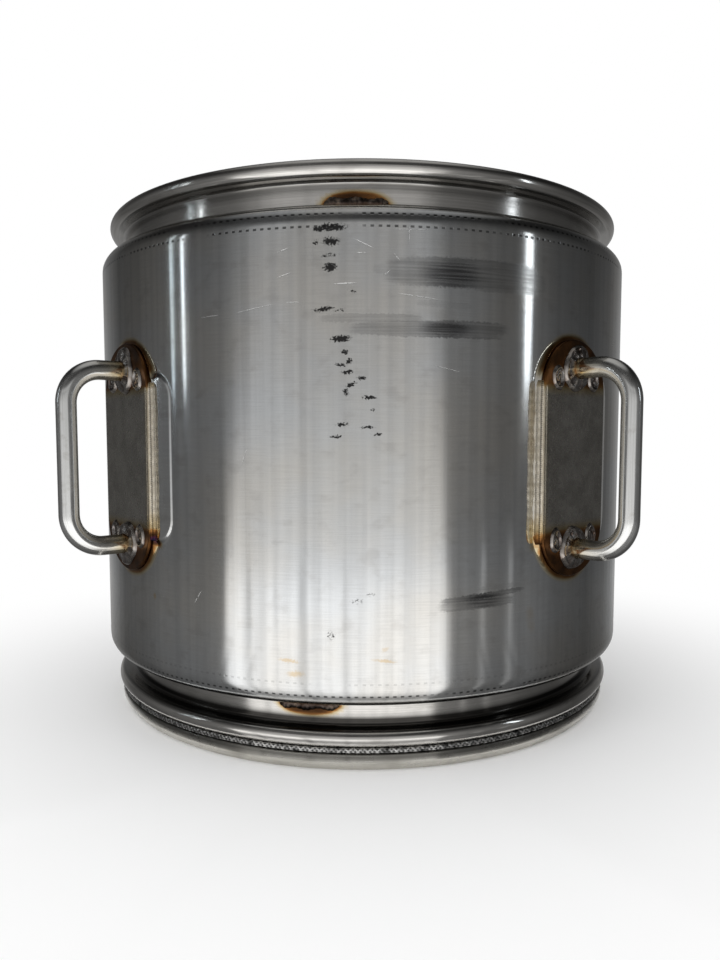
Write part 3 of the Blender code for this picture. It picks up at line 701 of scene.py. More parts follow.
def honeycomb_face(odd):
    """Points and quads of one face about height 0: lattice, floors and channel sides."""
    cells = int(BLOCK_RADIUS / CHANNEL_PITCH) * 2 - 1
    first = -cells / 2 * CHANNEL_PITCH
    edge = first + np.arange(cells) * CHANNEL_PITCH
    x = np.sort(np.concatenate([edge + CHANNEL_WALL / 2, edge + CHANNEL_PITCH - CHANNEL_WALL / 2]))
    cell = np.arange(cells)
    centre = first + (cell + 0.5) * CHANNEL_PITCH
    inside = np.hypot(*np.meshgrid(centre, centre)) < BLOCK_RADIUS - 1.9 * CHANNEL_PITCH
    is_open = inside & ((cell[:, None] + cell[None, :] + odd) % 2 == 0)
    index = np.arange(4 * cells * cells).reshape(2 * cells, 2 * cells)
    gx, gy = np.meshgrid(x, x, indexing="ij")
    face = np.stack([gx, gy, 0 * gx], -1).reshape(-1, 3)
    ci, cj = np.nonzero(inside)
    corner = np.stack([index[2 * ci + a, 2 * cj + b] for a, b in ((0, 0), (1, 0), (1, 1), (0, 1))], 1)
    depth = np.where(is_open, CHANNEL_DEPTH, PLUG_DEPTH)[ci, cj][:, None, None]
    floor = face[corner] - np.array([0, 0, 1]) * depth
    low = len(face) + np.arange(len(ci) * 4).reshape(-1, 4)
    corners = np.stack([corner, np.roll(corner, -1, 1), np.roll(low, -1, 1), low], -1)
    i, j = np.meshgrid(np.arange(2 * cells - 1), np.arange(2 * cells - 1), indexing="ij")
    pocket = (i % 2 == 0) & (j % 2 == 0) & inside[i // 2, j // 2]
    middle = np.hypot(gx[:-1, :-1] + gx[1:, 1:], gy[:-1, :-1] + gy[1:, 1:]) / 2
    fi, fj = np.nonzero((middle < BLOCK_RADIUS - 0.9 * CHANNEL_PITCH) & ~pocket)
    lattice = np.stack([index[fi + a, fj + b] for a, b in ((0, 0), (1, 0), (1, 1), (0, 1))], 1)
    sides = [corners[:, k] for k in range(4)]
    return np.concatenate([face, floor.reshape(-1, 3)]), np.concatenate([lattice, low] + sides), is_open.sum()


def make_block_half(name, top, direction, odd):
    """A face, its rim drawn out to the block's radius, and the skin down to the middle, closed."""
    points, quads, channels = honeycomb_face(odd)
    mesh = bpy.data.meshes.new(name)
    mesh.from_pydata(points.tolist(), [], quads.tolist())
    build = bmesh.new()
    build.from_mesh(mesh)
    bmesh.ops.delete(build, geom=[v for v in build.verts if not v.link_faces], context="VERTS")
    hoop = bmesh.ops.extrude_edge_only(build, edges=[e for e in build.edges if e.is_boundary])["geom"]
    for v in (g for g in hoop if isinstance(g, bmesh.types.BMVert)):
        v.co *= BLOCK_RADIUS / math.hypot(v.co.x, v.co.y)
    skin = bmesh.ops.extrude_edge_only(build, edges=[g for g in hoop if isinstance(g, bmesh.types.BMEdge)])
    for v in (g for g in skin["geom"] if isinstance(g, bmesh.types.BMVert)):
        v.co.z = -BLOCK_HALF
    foot = [g for g in skin["geom"] if isinstance(g, bmesh.types.BMEdge)]
    bmesh.ops.contextual_create(build, geom=foot)
    for v in build.verts:
        v.co.z = top + direction * v.co.z
    bmesh.ops.recalc_face_normals(build, faces=build.faces)
    build.to_mesh(mesh)
    loose = sum(e.is_boundary for e in build.edges)
    build.free()
    piece = bpy.data.objects.new(name, mesh)
    bpy.context.scene.collection.objects.link(piece)
    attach(piece, "root")
    print(name, len(mesh.polygons), "faces,", channels, "open channels,", loose, "open edges")
    return piece


upper_block = make_block_half("filter_block_inlet_half", MIDDLE + BLOCK_HALF, 1, 0)
lower_block = make_block_half("filter_block_outlet_half", MIDDLE - BLOCK_HALF, -1, 1)
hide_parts("filter_substrate")

# %% [markdown]
# The studio is plain: a pale floor, a white surround and soft lamps. Metal has no colour of its own
# beyond what it mirrors, so what stands round it matters as much as the lamps. As a product
# photographer would, the scene puts grey cards round the canister. They are one tent whose glow is
# written on its vertices by angle and height, and only mirror-like rays see it.

# %% Floor and white surround
def stage_grid(name, points):
    """A backdrop surface from a grid of points."""
    rows, columns = points.shape[:2]
    i, j = np.arange(rows - 1)[:, None], np.arange(columns - 1)
    quads = np.stack([(i + a) * columns + j + b for a, b in ((0, 0), (0, 1), (1, 1), (1, 0))], -1)
    mesh = bpy.data.meshes.new(name)
    mesh.from_pydata(points.reshape(-1, 3).tolist(), [], quads.reshape(-1, 4).tolist())
    mesh.polygons.foreach_set("use_smooth", [True] * len(mesh.polygons))
    stand = bpy.data.objects.new(name, mesh)
    bpy.context.scene.collection.objects.link(stand)
    print(name, "spans", [round(c, 2) for c in stand.dimensions], "m")
    return stand


gx, gy = np.meshgrid(np.linspace(-5, 5, 41), np.linspace(-5, 5, 41), indexing="ij")
floor = stage_grid("floor", np.stack([gy, gx, 0 * gx], -1))

world = bpy.data.worlds.new("surround")
bpy.context.scene.world = world
world.use_nodes = True
world.node_tree.nodes["Background"].inputs["Color"].default_value = (1.0, 1.0, 1.0, 1.0)
world.node_tree.nodes["Background"].inputs["Strength"].default_value = 1.0

# %% [markdown]
# The cards are planned by what the jacket shows, so each spot of the tent has to be told apart by
# the direction in which the camera's ray leaves the jacket to reach it. A cylinder spreads these
# directions: near its middle they turn slowly, and near its edges fast.

# %% Where the jacket looks
def seen_from_jacket(azimuth, radius):
    """Direction in which a camera ray leaves the jacket when it reaches that point of the tent.

    The ray d that meets the jacket at angle f, normal n, leaves along d - 2 (d . n) n.
    """
    f = np.radians(np.linspace(-71, 71, 569))
    n = np.stack([np.sin(f), -np.cos(f)], 1)
    spot = SHELL_RADIUS * n
    d = spot + (0.0, CAMERA_DISTANCE)
    d = d / np.linalg.norm(d, axis=1, keepdims=True)
    away = d - 2 * np.sum(d * n, 1, keepdims=True) * n
    leaving = np.degrees(np.arctan2(away[:, 0], -away[:, 1]))
    seen = np.empty_like(azimuth)
    for k, reach in enumerate(radius):
        out = np.sum(spot * away, 1)
        far = -out + np.sqrt(out ** 2 - SHELL_RADIUS ** 2 + max(reach, SHELL_RADIUS) ** 2)
        end = spot + far[:, None] * away
        seen[:, k] = np.interp(azimuth[:, k], np.degrees(np.arctan2(end[:, 0], -end[:, 1])), leaving)
    return seen


# %% Brightness of the cards
WINDOW_BARS = ((-47.5, 1.6, 0.34), (-41.5, 0.5, 0.16), (-36.0, 0.6, 0.12), (-24.0, 1.9, 0.3),
               (-17.5, 0.5, 0.12), (-7.0, 0.9, 0.2), (6.5, 0.6, 0.1), (12.0, 0.8, 0.12), (19.5, 0.6, 0.16), (26.0, 0.5, 0.12))
FRONT_HEIGHTS = ((-91, 0.8), (-86, 0.28), (-78, 0.95), (-62, 1.4), (-46, 1.4), (-30, 1.38), (-20, 1.33),
                 (-15, 0.94), (-9, 0.78), (1, 0.6), (9, 0.48), (15, 0.44), (18.5, 0.34), (21.5, 0.44),
                 (25, 0.4), (30, 0.13), (40, 0.05), (60, 0.05))
SIDE_TURNS = ((-180, 0.34), (-155, 0.3), (-125, 0.08), (-107, 0.09), (-96, 0.12), (-85, 0.13), (-68, 0.15),
              (-50, 0.2), (38, 0.2), (52, 0.15), (60, 0.12), (75, 0.13), (88, 0.08), (110, 0.06),
              (130, 0.1), (155, 0.3), (180, 0.34))
SIDE_HEIGHTS = ((-91, 0.9), (-70, 1.0), (-25, 1.4), (-8, 1.0), (10, 1.0), (25, 0.6), (45, 0.2))


def tent_glow(azimuth, elevation):
    """Card brightness by angle: a bright front that fades upwards, dim sides, a mid-grey back."""
    bars = 1 - 0.14 * (np.sin(azimuth * 1.9 + 1) * np.sin(azimuth * 0.83) > 0.35)
    bars = bars - 0.06 * (np.sin(azimuth * 4.7) > 0.5)
    for centre, half, depth in WINDOW_BARS:
        bars = bars - depth * (np.abs(azimuth - centre) < half)
    soft = np.interp(elevation, [-18, -4, 16], [3.0, 10.0, 26.0])
    front = smoothstep((azimuth + 59.5) / soft) * smoothstep((37 - azimuth) / (2 + 0.5 * soft))
    low = np.interp(elevation, [-18, -14], [1.0, 0.0])
    high = np.interp(elevation, *zip(*FRONT_HEIGHTS))
    side = np.interp(azimuth, *zip(*SIDE_TURNS)) * np.interp(elevation, *zip(*SIDE_HEIGHTS))
    lines = 0.28 * (np.abs(azimuth - 51) < 0.9) + 0.22 * (np.abs(azimuth - 64) < 1.3)
    side = side + lines * smoothstep((-11 - elevation) / 3) * (elevation > -75)
    overhead = 0.32 * smoothstep((elevation - 58) / 22)
    return (front * high + (1 - front) * side) * (1 + (bars - 1) * (0.4 + 0.6 * low)) + overhead


# %% Grey card tent
TENT_RADIUS, TENT_LID = 1.3, 1.52
LOOK_HEIGHT = 0.15


def make_tent():
    """Wall that curls in over the floor and up to a lid, with its glow noted on each vertex."""
    near = np.array([158.0, 162, 166, 170, 175, 180, 186, 193, 202, 214, 230, 250, 275]) * MM
    ground = np.concatenate([near, np.linspace(0.3, 1.2, 16)])
    wall = np.concatenate([np.stack([ground, np.full(len(ground), 0.002)], 1),
                           arc((1.2, 0.102), 0.1, -90, 0, 6),
                           np.stack([np.full(12, TENT_RADIUS), np.linspace(0.2, 1.1, 12)], 1),
                           arc((0.9, 1.1), 0.4, 0, 90, 8), [(0.4, TENT_LID), (0.0, TENT_LID)]])
    a = np.linspace(-math.pi, math.pi, 721)[:, None]
    r, z = wall[None, :, 0], wall[None, :, 1]
    made = stage_grid("grey_card_tent", placed(r, a, z))
    azimuth = np.degrees(a) - math.degrees(CAMERA_TURN) + 0 * r
    azimuth = seen_from_jacket((azimuth + 180) % 360 - 180, wall[:, 0])
    elevation = np.degrees(np.arctan2(z - LOOK_HEIGHT, r - SHELL_RADIUS)) + 0 * a
    glow = tent_glow(azimuth, elevation).reshape(-1).astype(np.float32)
    made.data.attributes.new("glow", "FLOAT", "POINT").data.foreach_set("value", glow)
    for kind in ("camera", "diffuse", "shadow", "transmission", "volume_scatter"):
        setattr(made, "visible_" + kind, False)
    print("card brightness", round(float(glow.min()), 2), "to", round(float(glow.max()), 2))
    return made


tent = make_tent()

# %% [markdown]
# The narrow strips draw the thin cold lights at the jacket's two edges, as lit doorways would, and
# one large softbox up on the left gives the welds and handles their small highlights.

# %% Lamps
def lamp(name, azimuth, distance, height, size, power, colour=(1.0, 1.0, 1.0)):
    """Soft rectangular lamp on a circle round the canister, turned to its middle."""
    data = bpy.data.lights.new(name, "AREA")
    data.shape, data.size, data.size_y, data.energy, data.color = "RECTANGLE", size[0], size[1], power, colour
    light = bpy.data.objects.new(name, data)
    a = math.radians(azimuth) + CAMERA_TURN
    light.location = (distance * math.sin(a), -distance * math.cos(a), height)
    light.rotation_euler = (math.pi / 2 - math.atan2(height - LOOK_HEIGHT, distance), 0.0, a)
    bpy.context.scene.collection.objects.link(light)
    print(name, "at", [round(c, 2) for c in light.location], power, "W")


lamp("left_strip_near", -71.4, 1.1, 0.42, (0.018, 0.36), 0.08, (0.86, 0.94, 1.0))
lamp("left_strip_far", -77.6, 1.1, 0.44, (0.018, 0.42), 0.05, (0.78, 0.92, 1.0))
lamp("right_strip", 65.2, 1.1, 0.42, (0.055, 0.36), 0.18, (0.86, 0.93, 1.0))
lamp("key_softbox", -35.0, 1.6, 1.7, (1.2, 1.2), 6.0)

# %% [markdown]
# Finishes are node trees. One function adds a node with its settings and links and hands back one
# output. Another turns the sRGB hex of a colour chip into the linear numbers that the shader wants.

# %% Nodes and colours
SMOOTH = {"interpolation_type": "SMOOTHSTEP"}
TIMES = {"operation": "MULTIPLY"}
WHITE = (1.0, 1.0, 1.0, 1.0)


def linear(code):
    """sRGB hex to linear: c / 12.92 up to 0.04045, ((c + 0.055) / 1.055)^2.4 above."""
    values = [int(code[k:k + 2], 16) / 255 for k in (0, 2, 4)]
    return tuple(c / 12.92 if c <= 0.04045 else ((c + 0.055) / 1.055) ** 2.4 for c in values) + (1.0,)


def add(tree, kind, feeds=(), out=None, stops=(), **settings):
    """Adds a node and returns one output. Feeds fill its open inputs in order, or by name."""
    node = tree.nodes.new("ShaderNode" + kind)
    for key, value in settings.items():
        setattr(node, key, value)
    ready = [socket for socket in node.inputs if socket.enabled]
    for key, value in (feeds.items() if isinstance(feeds, dict) else enumerate(feeds)):
        socket = node.inputs[key] if isinstance(key, str) else ready[key]
        if isinstance(value, bpy.types.NodeSocket):
            tree.links.new(value, socket)
        else:
            socket.default_value = value
    for k, (position, code) in enumerate(stops):
        element = node.color_ramp.elements[k] if k < 2 else node.color_ramp.elements.new(position)
        element.position, element.color = position, linear(code)
    return node.outputs[out] if out else next(socket for socket in node.outputs if socket.enabled)


def finish_of(name, metallic, roughness, colour="FFFFFF"):
    """A new material and its tree, with the plain numbers set on the shader."""
    made = bpy.data.materials.new(name)
    made.use_nodes = True
    sockets = made.node_tree.nodes["Principled BSDF"].inputs
    for key, value in (("Base Color", linear(colour)), ("Metallic", metallic), ("Roughness", roughness)):
        sockets[key].default_value = value
    return made, made.node_tree


def put_on(pieces, made, colour, rough=None, normal=None):
    """Joins colour, roughness and relief to the shader and gives the finish to the pieces."""
    tree = made.node_tree
    for key, feed in (("Base Color", colour), ("Roughness", rough), ("Normal", normal)):
        if feed is not None:
            tree.links.new(feed, tree.nodes["Principled BSDF"].inputs[key])
    for piece in pieces:
        piece.data.materials.append(made)
    print("{}: {} nodes, on {} pieces".format(made.name, len(tree.nodes), len(pieces)))


# %% [markdown]
# The floor is matt paper near the canister, so it takes the soft shadow. Farther out it fades into
# plain white light for the eye and for mirrors, as the white background of a product shot does. The
# cards shine with the glow that their vertices carry.

# %% Floor and card finishes
FADE_START, FADE_END = 0.19, 0.42

paper, tree = finish_of("pale_paper_floor", 0.0, 0.9, "FAFAFA")
away = add(tree, "VectorMath", [add(tree, "TexCoord", out="Object")], operation="LENGTH")
fade = add(tree, "MapRange", [away, FADE_START, FADE_END], **SMOOTH)
rays = add(tree, "LightPath").node.outputs
seen = add(tree, "Math", [rays["Is Camera Ray"], rays["Is Glossy Ray"]], operation="ADD")
seen = add(tree, "Math", [seen, rays["Is Transmission Ray"]], operation="ADD", use_clamp=True)
share = add(tree, "Math", [seen, fade], **TIMES)
matt = tree.nodes["Principled BSDF"].outputs[0]
mixed = add(tree, "MixShader", [share, matt, add(tree, "Emission", [WHITE, 1.0])])
tree.links.new(mixed, tree.nodes["Material Output"].inputs["Surface"])
floor.data.materials.append(paper)

card = bpy.data.materials.new("grey_card")
card.use_nodes = True
tree = card.node_tree
glow = add(tree, "Attribute", attribute_name="glow", out="Fac")
tree.links.new(add(tree, "Emission", [WHITE, glow]), tree.nodes["Material Output"].inputs["Surface"])
tent.data.materials.append(card)
print("paper floor fades from", FADE_START, "to", FADE_END, "m")

# %% [markdown]
# A pattern on a canister wants to run round it. The object's x and y give the angle, atan2(x, -y),
# and the angle times the jacket's radius gives a distance in metres, so a pattern laid on that and
# on the height keeps its real size all the way round. Grain and noise are written in features per
# metre: 1 / 0.0004 is a line every 0.4 mm.

# %% Round-the-canister coordinates and patterns
def round_coordinates(tree):
    """Outputs: distance round the jacket, radius and height, all in metres."""
    place = add(tree, "SeparateXYZ", [add(tree, "TexCoord", out="Object")]).node.outputs
    flip = add(tree, "Math", [place["Y"], -1.0], **TIMES)
    angle = add(tree, "Math", [place["X"], flip], operation="ARCTAN2")
    reach = add(tree, "Math", [angle, SHELL_RADIUS], **TIMES)
    flat = add(tree, "CombineXYZ", [place["X"], place["Y"]])
    return reach, add(tree, "VectorMath", [flat], operation="LENGTH"), place["Z"]


def pattern(tree, where, per_metre, detail=3.0, out="Fac"):
    """Noise over (reach, across, height), each stretched by its own number of features per metre."""
    spread = add(tree, "VectorMath", [add(tree, "CombineXYZ", where), per_metre], **TIMES)
    return add(tree, "TexNoise", [spread, 1.0, detail], out=out)


def clouded(tree, per_metre, detail):
    """Noise of the same size in every direction of the piece."""
    return add(tree, "TexNoise", [add(tree, "TexCoord", out="Object"), per_metre, detail], out="Fac")


# %% Layers of colour, roughness and relief
def coated(tree, base, *layers):
    """Colour with layers over it: (mask, low, high, share, hex), or (mask, share, hex).

    The first kind turns the mask's stretch from low to high into a smooth 0 to share, and the
    second multiplies the mask by the share.
    """
    for mask, *span, share, code in layers:
        if span:
            mask = add(tree, "MapRange", [mask, *span, 0.0, share], **SMOOTH)
        else:
            mask = add(tree, "Math", [mask, share], **TIMES)
        base = add(tree, "Mix", [mask, base, linear(code)], data_type="RGBA")
    return base


def roughened(tree, span, *more):
    """Roughness from (mask, low, high, smoothest, roughest), plus mask * amount for each one more."""
    rough = add(tree, "MapRange", span, **SMOOTH)
    for mask, amount in more:
        rough = add(tree, "Math", [mask, amount, rough], operation="MULTIPLY_ADD")
    return rough


def relief(tree, *layers):
    """Bumps one on another, each (height, strength, depth in mm), or with True at its end sunk."""
    below = {}
    for height, strength, depth, *sunk in layers:
        feeds = {"Strength": strength, "Distance": depth * MM, "Height": height, **below}
        below = {"Normal": add(tree, "Bump", feeds, invert=bool(sunk))}
    return below["Normal"]


def chained(tree, operation, values):
    """Many masks made one, two at a time."""
    total = values[0]
    for value in values[1:]:
        total = add(tree, "Math", [total, value], operation=operation)
    return total


def grained_round(made, amount):
    """Blurs reflections along the axis and keeps them sharp round it, as turned grain does."""
    tree = made.node_tree
    sockets = tree.nodes["Principled BSDF"].inputs
    sockets["Anisotropic"].default_value = amount
    sockets["Anisotropic Rotation"].default_value = 0.25
    tree.links.new(add(tree, "Tangent", direction_type="RADIAL", axis="Z"), sockets["Tangent"])


# %% [markdown]
# Stainless steel that has been hot carries an oxide film, and its thickness sets the colour: straw
# first, then gold, brown, purple and blue, and at last a dull grey-brown. The welds left that record
# on the plates, the jacket, the necks and the feet of the handles. The meshes hold how hot each
# point was, from 0 to 1, and one ramp turns heat into film colour. A little noise on the heat
# makes the bands wander as they do on real sheet.

# %% Temper colours
TEMPER = [(0.0, "FFFFFF"), (0.12, "FBF0DA"), (0.24, "EAD7AE"), (0.34, "C8945A"), (0.42, "97683F"),
          (0.52, "6E4E34"), (0.6, "54392A"), (0.7, "6A3C63"), (0.8, "3E4F86"), (1.0, "2B2521")]


def tempered(tree, steel, wander, amount=1.0):
    """The steel's colour times the film colour for the heat stored on the mesh."""
    heat = add(tree, "Attribute", attribute_name="weld_heat", out="Fac")
    shift = add(tree, "Math", [wander, -0.5], operation="ADD")
    shift = add(tree, "Math", [shift, heat], **TIMES)
    heat = add(tree, "Math", [shift, 0.9 * amount, heat], operation="MULTIPLY_ADD")
    film = add(tree, "ValToRGB", [heat], stops=TEMPER)
    return heat, add(tree, "Mix", [1.0, steel, film], data_type="RGBA", blend_type="MULTIPLY")


# %% [markdown]
# The jacket is 2B stainless: cold rolled, pickled and lightly skin passed, so it is smooth, with a
# faint grain round the canister and slow vertical chatter from the bending rolls. The eye gets a
# nearly sharp mirror from side to side that is drawn out up and down, which the shader's anisotropy
# gives, and sheen that drifts in soft clouds.

# %% Jacket sheet
jacket_steel, tree = finish_of("rolled_stainless_2b", 1.0, 0.13, "DAD8D4")
grained_round(jacket_steel, 0.8)
reach, radius, height = round_coordinates(tree)
skin = (reach, 0.0, height)
clouds = pattern(tree, skin, (14, 1, 16), 4)
chatter = pattern(tree, skin, (260, 1, 5))
broad = pattern(tree, skin, (45, 1, 3), 2)
grain = pattern(tree, skin, (60, 1, 2400), 2)
blotch = pattern(tree, skin, (90, 1, 120), 5)
steel = coated(tree, linear("DADCDD"), (clouds, 0.35, 0.65, 1.0, "DCD9D3"),
               (blotch, 0.52, 0.72, 0.24, "A8A49F"), (chatter, 0.3, 0.75, 0.24, "A6A8AA"),
               (grain, 0.35, 0.7, 0.1, "8E8C89"))
heat, steel = tempered(tree, steel, blotch)
print("plain sheet:", len(tree.nodes), "nodes")

# %% [markdown]
# Over the sheet lies its working life: a column of ink-dark smudges, three wiped smears, bright
# scratches, and stains. Each mark is an ellipse, placed by angle from the camera and height in a
# list of (degrees, mm, half length, half width, turn, strength if it isn't full), and roughened by
# noise that shifts it about by up to 1.3 mm.

# %% Marks of use
SMUDGES = [(-4.9, 251.7, 9.6, 2.4, 0), (-6.8, 251.0, 5.0, 1.4, 0), (-5.0, 245.6, 5.6, 2.6, 0),
           (-7.4, 245.3, 2.4, 1.4, 0, 0.7), (-5.3, 239.5, 6.4, 1.1, 3, 0.55), (-5.1, 234.4, 4.4, 2.9, 0),
           (-6.2, 216.1, 6.6, 1.4, 8, 0.9), (-3.6, 215.6, 4.0, 0.8, 4, 0.6), (-3.4, 202.9, 6.6, 2.3, 4),
           (-2.8, 197.0, 2.4, 1.3, 0), (-2.1, 192.9, 1.8, 2.1, 0), (-3.5, 191.3, 3.8, 1.0, -8, 0.8),
           (-2.4, 188.1, 4.0, 1.3, 4), (-0.1, 185.4, 3.0, 1.2, 0), (-1.8, 182.4, 3.6, 1.5, 20),
           (-2.6, 179.2, 1.8, 2.5, 20, 0.8), (1.2, 176.8, 4.4, 1.3, 0), (1.7, 171.1, 2.4, 0.8, 0, 0.6),
           (-3.2, 164.7, 3.8, 1.3, 0), (0.9, 163.4, 4.6, 1.1, 0, 0.8), (2.6, 160.2, 2.6, 1.0, 10, 0.8),
           (-4.2, 159.2, 4.2, 1.0, 4, 0.8), (-1.6, 223.8, 2.6, 1.0, -15, 0.6), (-0.7, 84.0, 5.0, 2.0, 0, 0.25),
           (-5.2, 67.7, 3.0, 3.0, 0, 0.3), (1.5, 87.0, 3.0, 1.5, 0, 0.3)]
SMEARS = [(17.4, 233.0, 43, 7.6, 0.5, 0.72), (25.5, 231.0, 24, 6.2, 2, 0.6), (28.5, 226.8, 13, 1.3, -2, 0.4),
          (5.5, 233.6, 12, 2.6, 0, 0.4), (11.5, 208.0, 42, 3.8, 1, 0.75), (1.5, 212.0, 26, 2.2, 0, 0.55),
          (13.5, 204.9, 32, 1.2, 0, 0.7), (13.5, 218.6, 15, 1.6, -2, 0.35), (21.3, 84.4, 25, 1.6, 4, 0.8),
          (20.0, 80.8, 22, 3.0, 2, 0.6), (24.0, 88.0, 14, 1.4, 3, 0.3), (7.0, 165.0, 30, 3.0, 8, 0.1)]
SMEAR_HEARTS = [(14.6, 232.0, 24, 11.0, 0), (13.8, 207.5, 20, 7.0, 0), (21.0, 82.0, 16, 6.0, 0)]
SCRATCHES = [(0.25, 244.6, 5.6, 0.22, -25), (-0.1, 240.6, 2.6, 0.18, 0), (-12.9, 242.5, 3.5, 0.2, 18),
             (-12.7, 231.5, 3.8, 0.2, 18), (-17.8, 217.4, 11.5, 0.16, 9), (-11.3, 219.4, 3.6, 0.16, 0),
             (7.9, 251.0, 9.4, 0.14, 1), (9.0, 221.8, 11.0, 0.18, -7), (7.5, 248.6, 4.6, 0.2, 88),
             (-2.7, 227.2, 6.0, 0.3, 2), (4.0, 232.0, 2.0, 0.2, 40), (-26.4, 215.2, 6.4, 0.15, 2),
             (-30.0, 81.0, 5.5, 0.3, 55), (5.5, 239.0, 2.4, 0.15, -50), (14.0, 190.0, 7.0, 0.12, -12),
             (-20.0, 150.0, 5.0, 0.14, 70), (60.0, 210.0, 9.0, 0.16, 20), (-95.0, 120.0, 12.0, 0.16, -15),
             (120.0, 90.0, 14.0, 0.18, 8), (150.0, 200.0, 10.0, 0.16, -30), (-140.0, 230.0, 8.0, 0.18, 25)]
STAINS = [(-11.2, 49.0, 6.0, 2.2, 0), (-12.4, 55.2, 7.0, 1.3, -6), (3.6, 56.0, 7.5, 1.1, -8),
          (3.8, 61.4, 2.6, 1.2, 30), (-41.5, 77.8, 1.7, 2.7, 0), (31.0, 70.0, 4.0, 9.0, 10, 0.4)]


def marks(tree, spread, places, inner=0.35, square=False):
    """One mask: each place is an ellipse, or with square a blunt shape of fourth powers."""
    masks = []
    for azimuth, z, half_length, half_width, turn, *strength in places:
        centre = ((math.radians(azimuth) + CAMERA_TURN) * SHELL_RADIUS, 0.0, z * MM)
        size = (half_length * MM, 1.0, half_width * MM)
        local = add(tree, "Mapping", [spread, centre, (0.0, -math.radians(turn), 0.0), size],
                    vector_type="TEXTURE")
        if square:
            local = add(tree, "VectorMath", [local, local], **TIMES)
        far = add(tree, "VectorMath", [local], operation="LENGTH")
        masks.append(add(tree, "MapRange", [far, inner, 1.0, *(strength or [1.0]), 0.0], **SMOOTH))
    return chained(tree, "MAXIMUM", masks)


# %% Smudges, smears, scratches and stains
drift = pattern(tree, skin, (900, 1, 900), out="Color")
drift = add(tree, "VectorMath", [drift, (0.5, 0.5, 0.5)], operation="SUBTRACT")
drift = add(tree, "VectorMath", [drift, 2.6 * MM], operation="SCALE")
flat = add(tree, "CombineXYZ", skin)
spread = add(tree, "VectorMath", [flat, drift], operation="ADD")
spread = add(tree, "VectorMath", [spread, (1.0, 0.0, 1.0)], **TIMES)

body = marks(tree, spread, SMUDGES, 0.2)
fray = add(tree, "MapRange", [pattern(tree, skin, (900, 1, 1300)), 0.35, 0.65, -0.42, 0.3])
fray = add(tree, "Math", [body, 0.9, fray], operation="MULTIPLY_ADD")
fray = add(tree, "MapRange", [fray, 0.05, 0.62], **SMOOTH)
ink = add(tree, "Math", [fray, add(tree, "MapRange", [body, 0.0, 0.2], **SMOOTH)], **TIMES)

wipe = add(tree, "MapRange", [pattern(tree, skin, (24, 1, 1100), 4), 0.34, 0.6, 0.7, 1.0], **SMOOTH)
hearts = add(tree, "MapRange", [marks(tree, spread, SMEAR_HEARTS, 0.0), 0.0, 1.0, 0.62, 1.25], **SMOOTH)
smear = chained(tree, "MULTIPLY", [marks(tree, spread, SMEARS, 0.62, True), hearts, wipe])

gap = add(tree, "MapRange", [pattern(tree, skin, (700, 1, 700), 2), 0.36, 0.5], **SMOOTH)
cuts = add(tree, "Math", [marks(tree, flat, SCRATCHES, 0.5), gap], **TIMES)
dry = add(tree, "MapRange", [blotch, 0.3, 0.6, 0.15, 0.6], **SMOOTH)
stains = add(tree, "Math", [marks(tree, spread, STAINS, 0.3), dry], **TIMES)
print("marks:", sum(len(group) for group in (SMUDGES, SMEARS, SMEAR_HEARTS, SCRATCHES, STAINS)))

# %% [markdown]
# Each shoulder was spun over with a ribbed roller that left two rows of short dark dashes, 3.6 mm
# apart, and deeper in some rows and stretches than in others.

# %% Roller marks
ROLLER_ROWS = ((257.8, 1.0), (252.4, 0.9), (44.7, 0.2), (38.6, 0.95))
ROLLER_PITCH = 3.6 * MM

turn = add(tree, "Math", [reach, 1 / ROLLER_PITCH], **TIMES)
beat = add(tree, "Math", [turn, 0.5], operation="PINGPONG")
rows = []
for level, depth in ROLLER_ROWS:
    off = add(tree, "Math", [height, level * MM], operation="SUBTRACT")
    off = add(tree, "Math", [off], operation="ABSOLUTE")
    rows.append(add(tree, "MapRange", [off, 0.25 * MM, 0.65 * MM, depth, 0.0], **SMOOTH))
beat = add(tree, "MapRange", [beat, 0.22, 0.34], **SMOOTH)
patchy = add(tree, "MapRange", [pattern(tree, skin, (30, 1, 30), 2), 0.34, 0.46], **SMOOTH)
dash = chained(tree, "MULTIPLY", [chained(tree, "MAXIMUM", rows), beat, patchy])
print("roller rows:", len(rows), "of", round(2 * math.pi * SHELL_RADIUS / ROLLER_PITCH), "dashes")

# %% [markdown]
# Laid over each other, these make the finished jacket. Ink and smears are dark and dull the mirror,
# scratches are bright and matt, and the dashes and cuts are sunk a little into the sheet.

# %% Jacket steel
colour = coated(tree, steel, (stains, 1.0, "CBB083"), (smear, 0.0, 1.0, 0.92, "3C3B3D"),
                (ink, 0.95, "141315"), (dash, 0.85, "262526"), (cuts, 0.8, "FFFFFF"))
rough = roughened(tree, (clouds, 0.3, 0.7, 0.11, 0.15), (smear, 0.18), (ink, 0.35), (cuts, 0.4))
sunk = add(tree, "Math", [dash, cuts], operation="MAXIMUM")
normal = relief(tree, (broad, 0.35, 0.25), (chatter, 0.3, 0.02), (grain, 0.25, 0.006),
                (sunk, 0.6, 0.08, True))
put_on([shell], jacket_steel, colour, rough, normal)

# %% [markdown]
# The flanges were pressed and rolled against spinning tools, so fine rings run round them, and the
# bead is burnished where the rollers bore on it. The collar is turned on a lathe, with coarser
# rings. The can and its rings have soaked in heat until they are dull and brown. The same tree makes
# all three: rings that depend on radius and height, not on the angle, draw each highlight out into
# a band that stays put as one walks round.

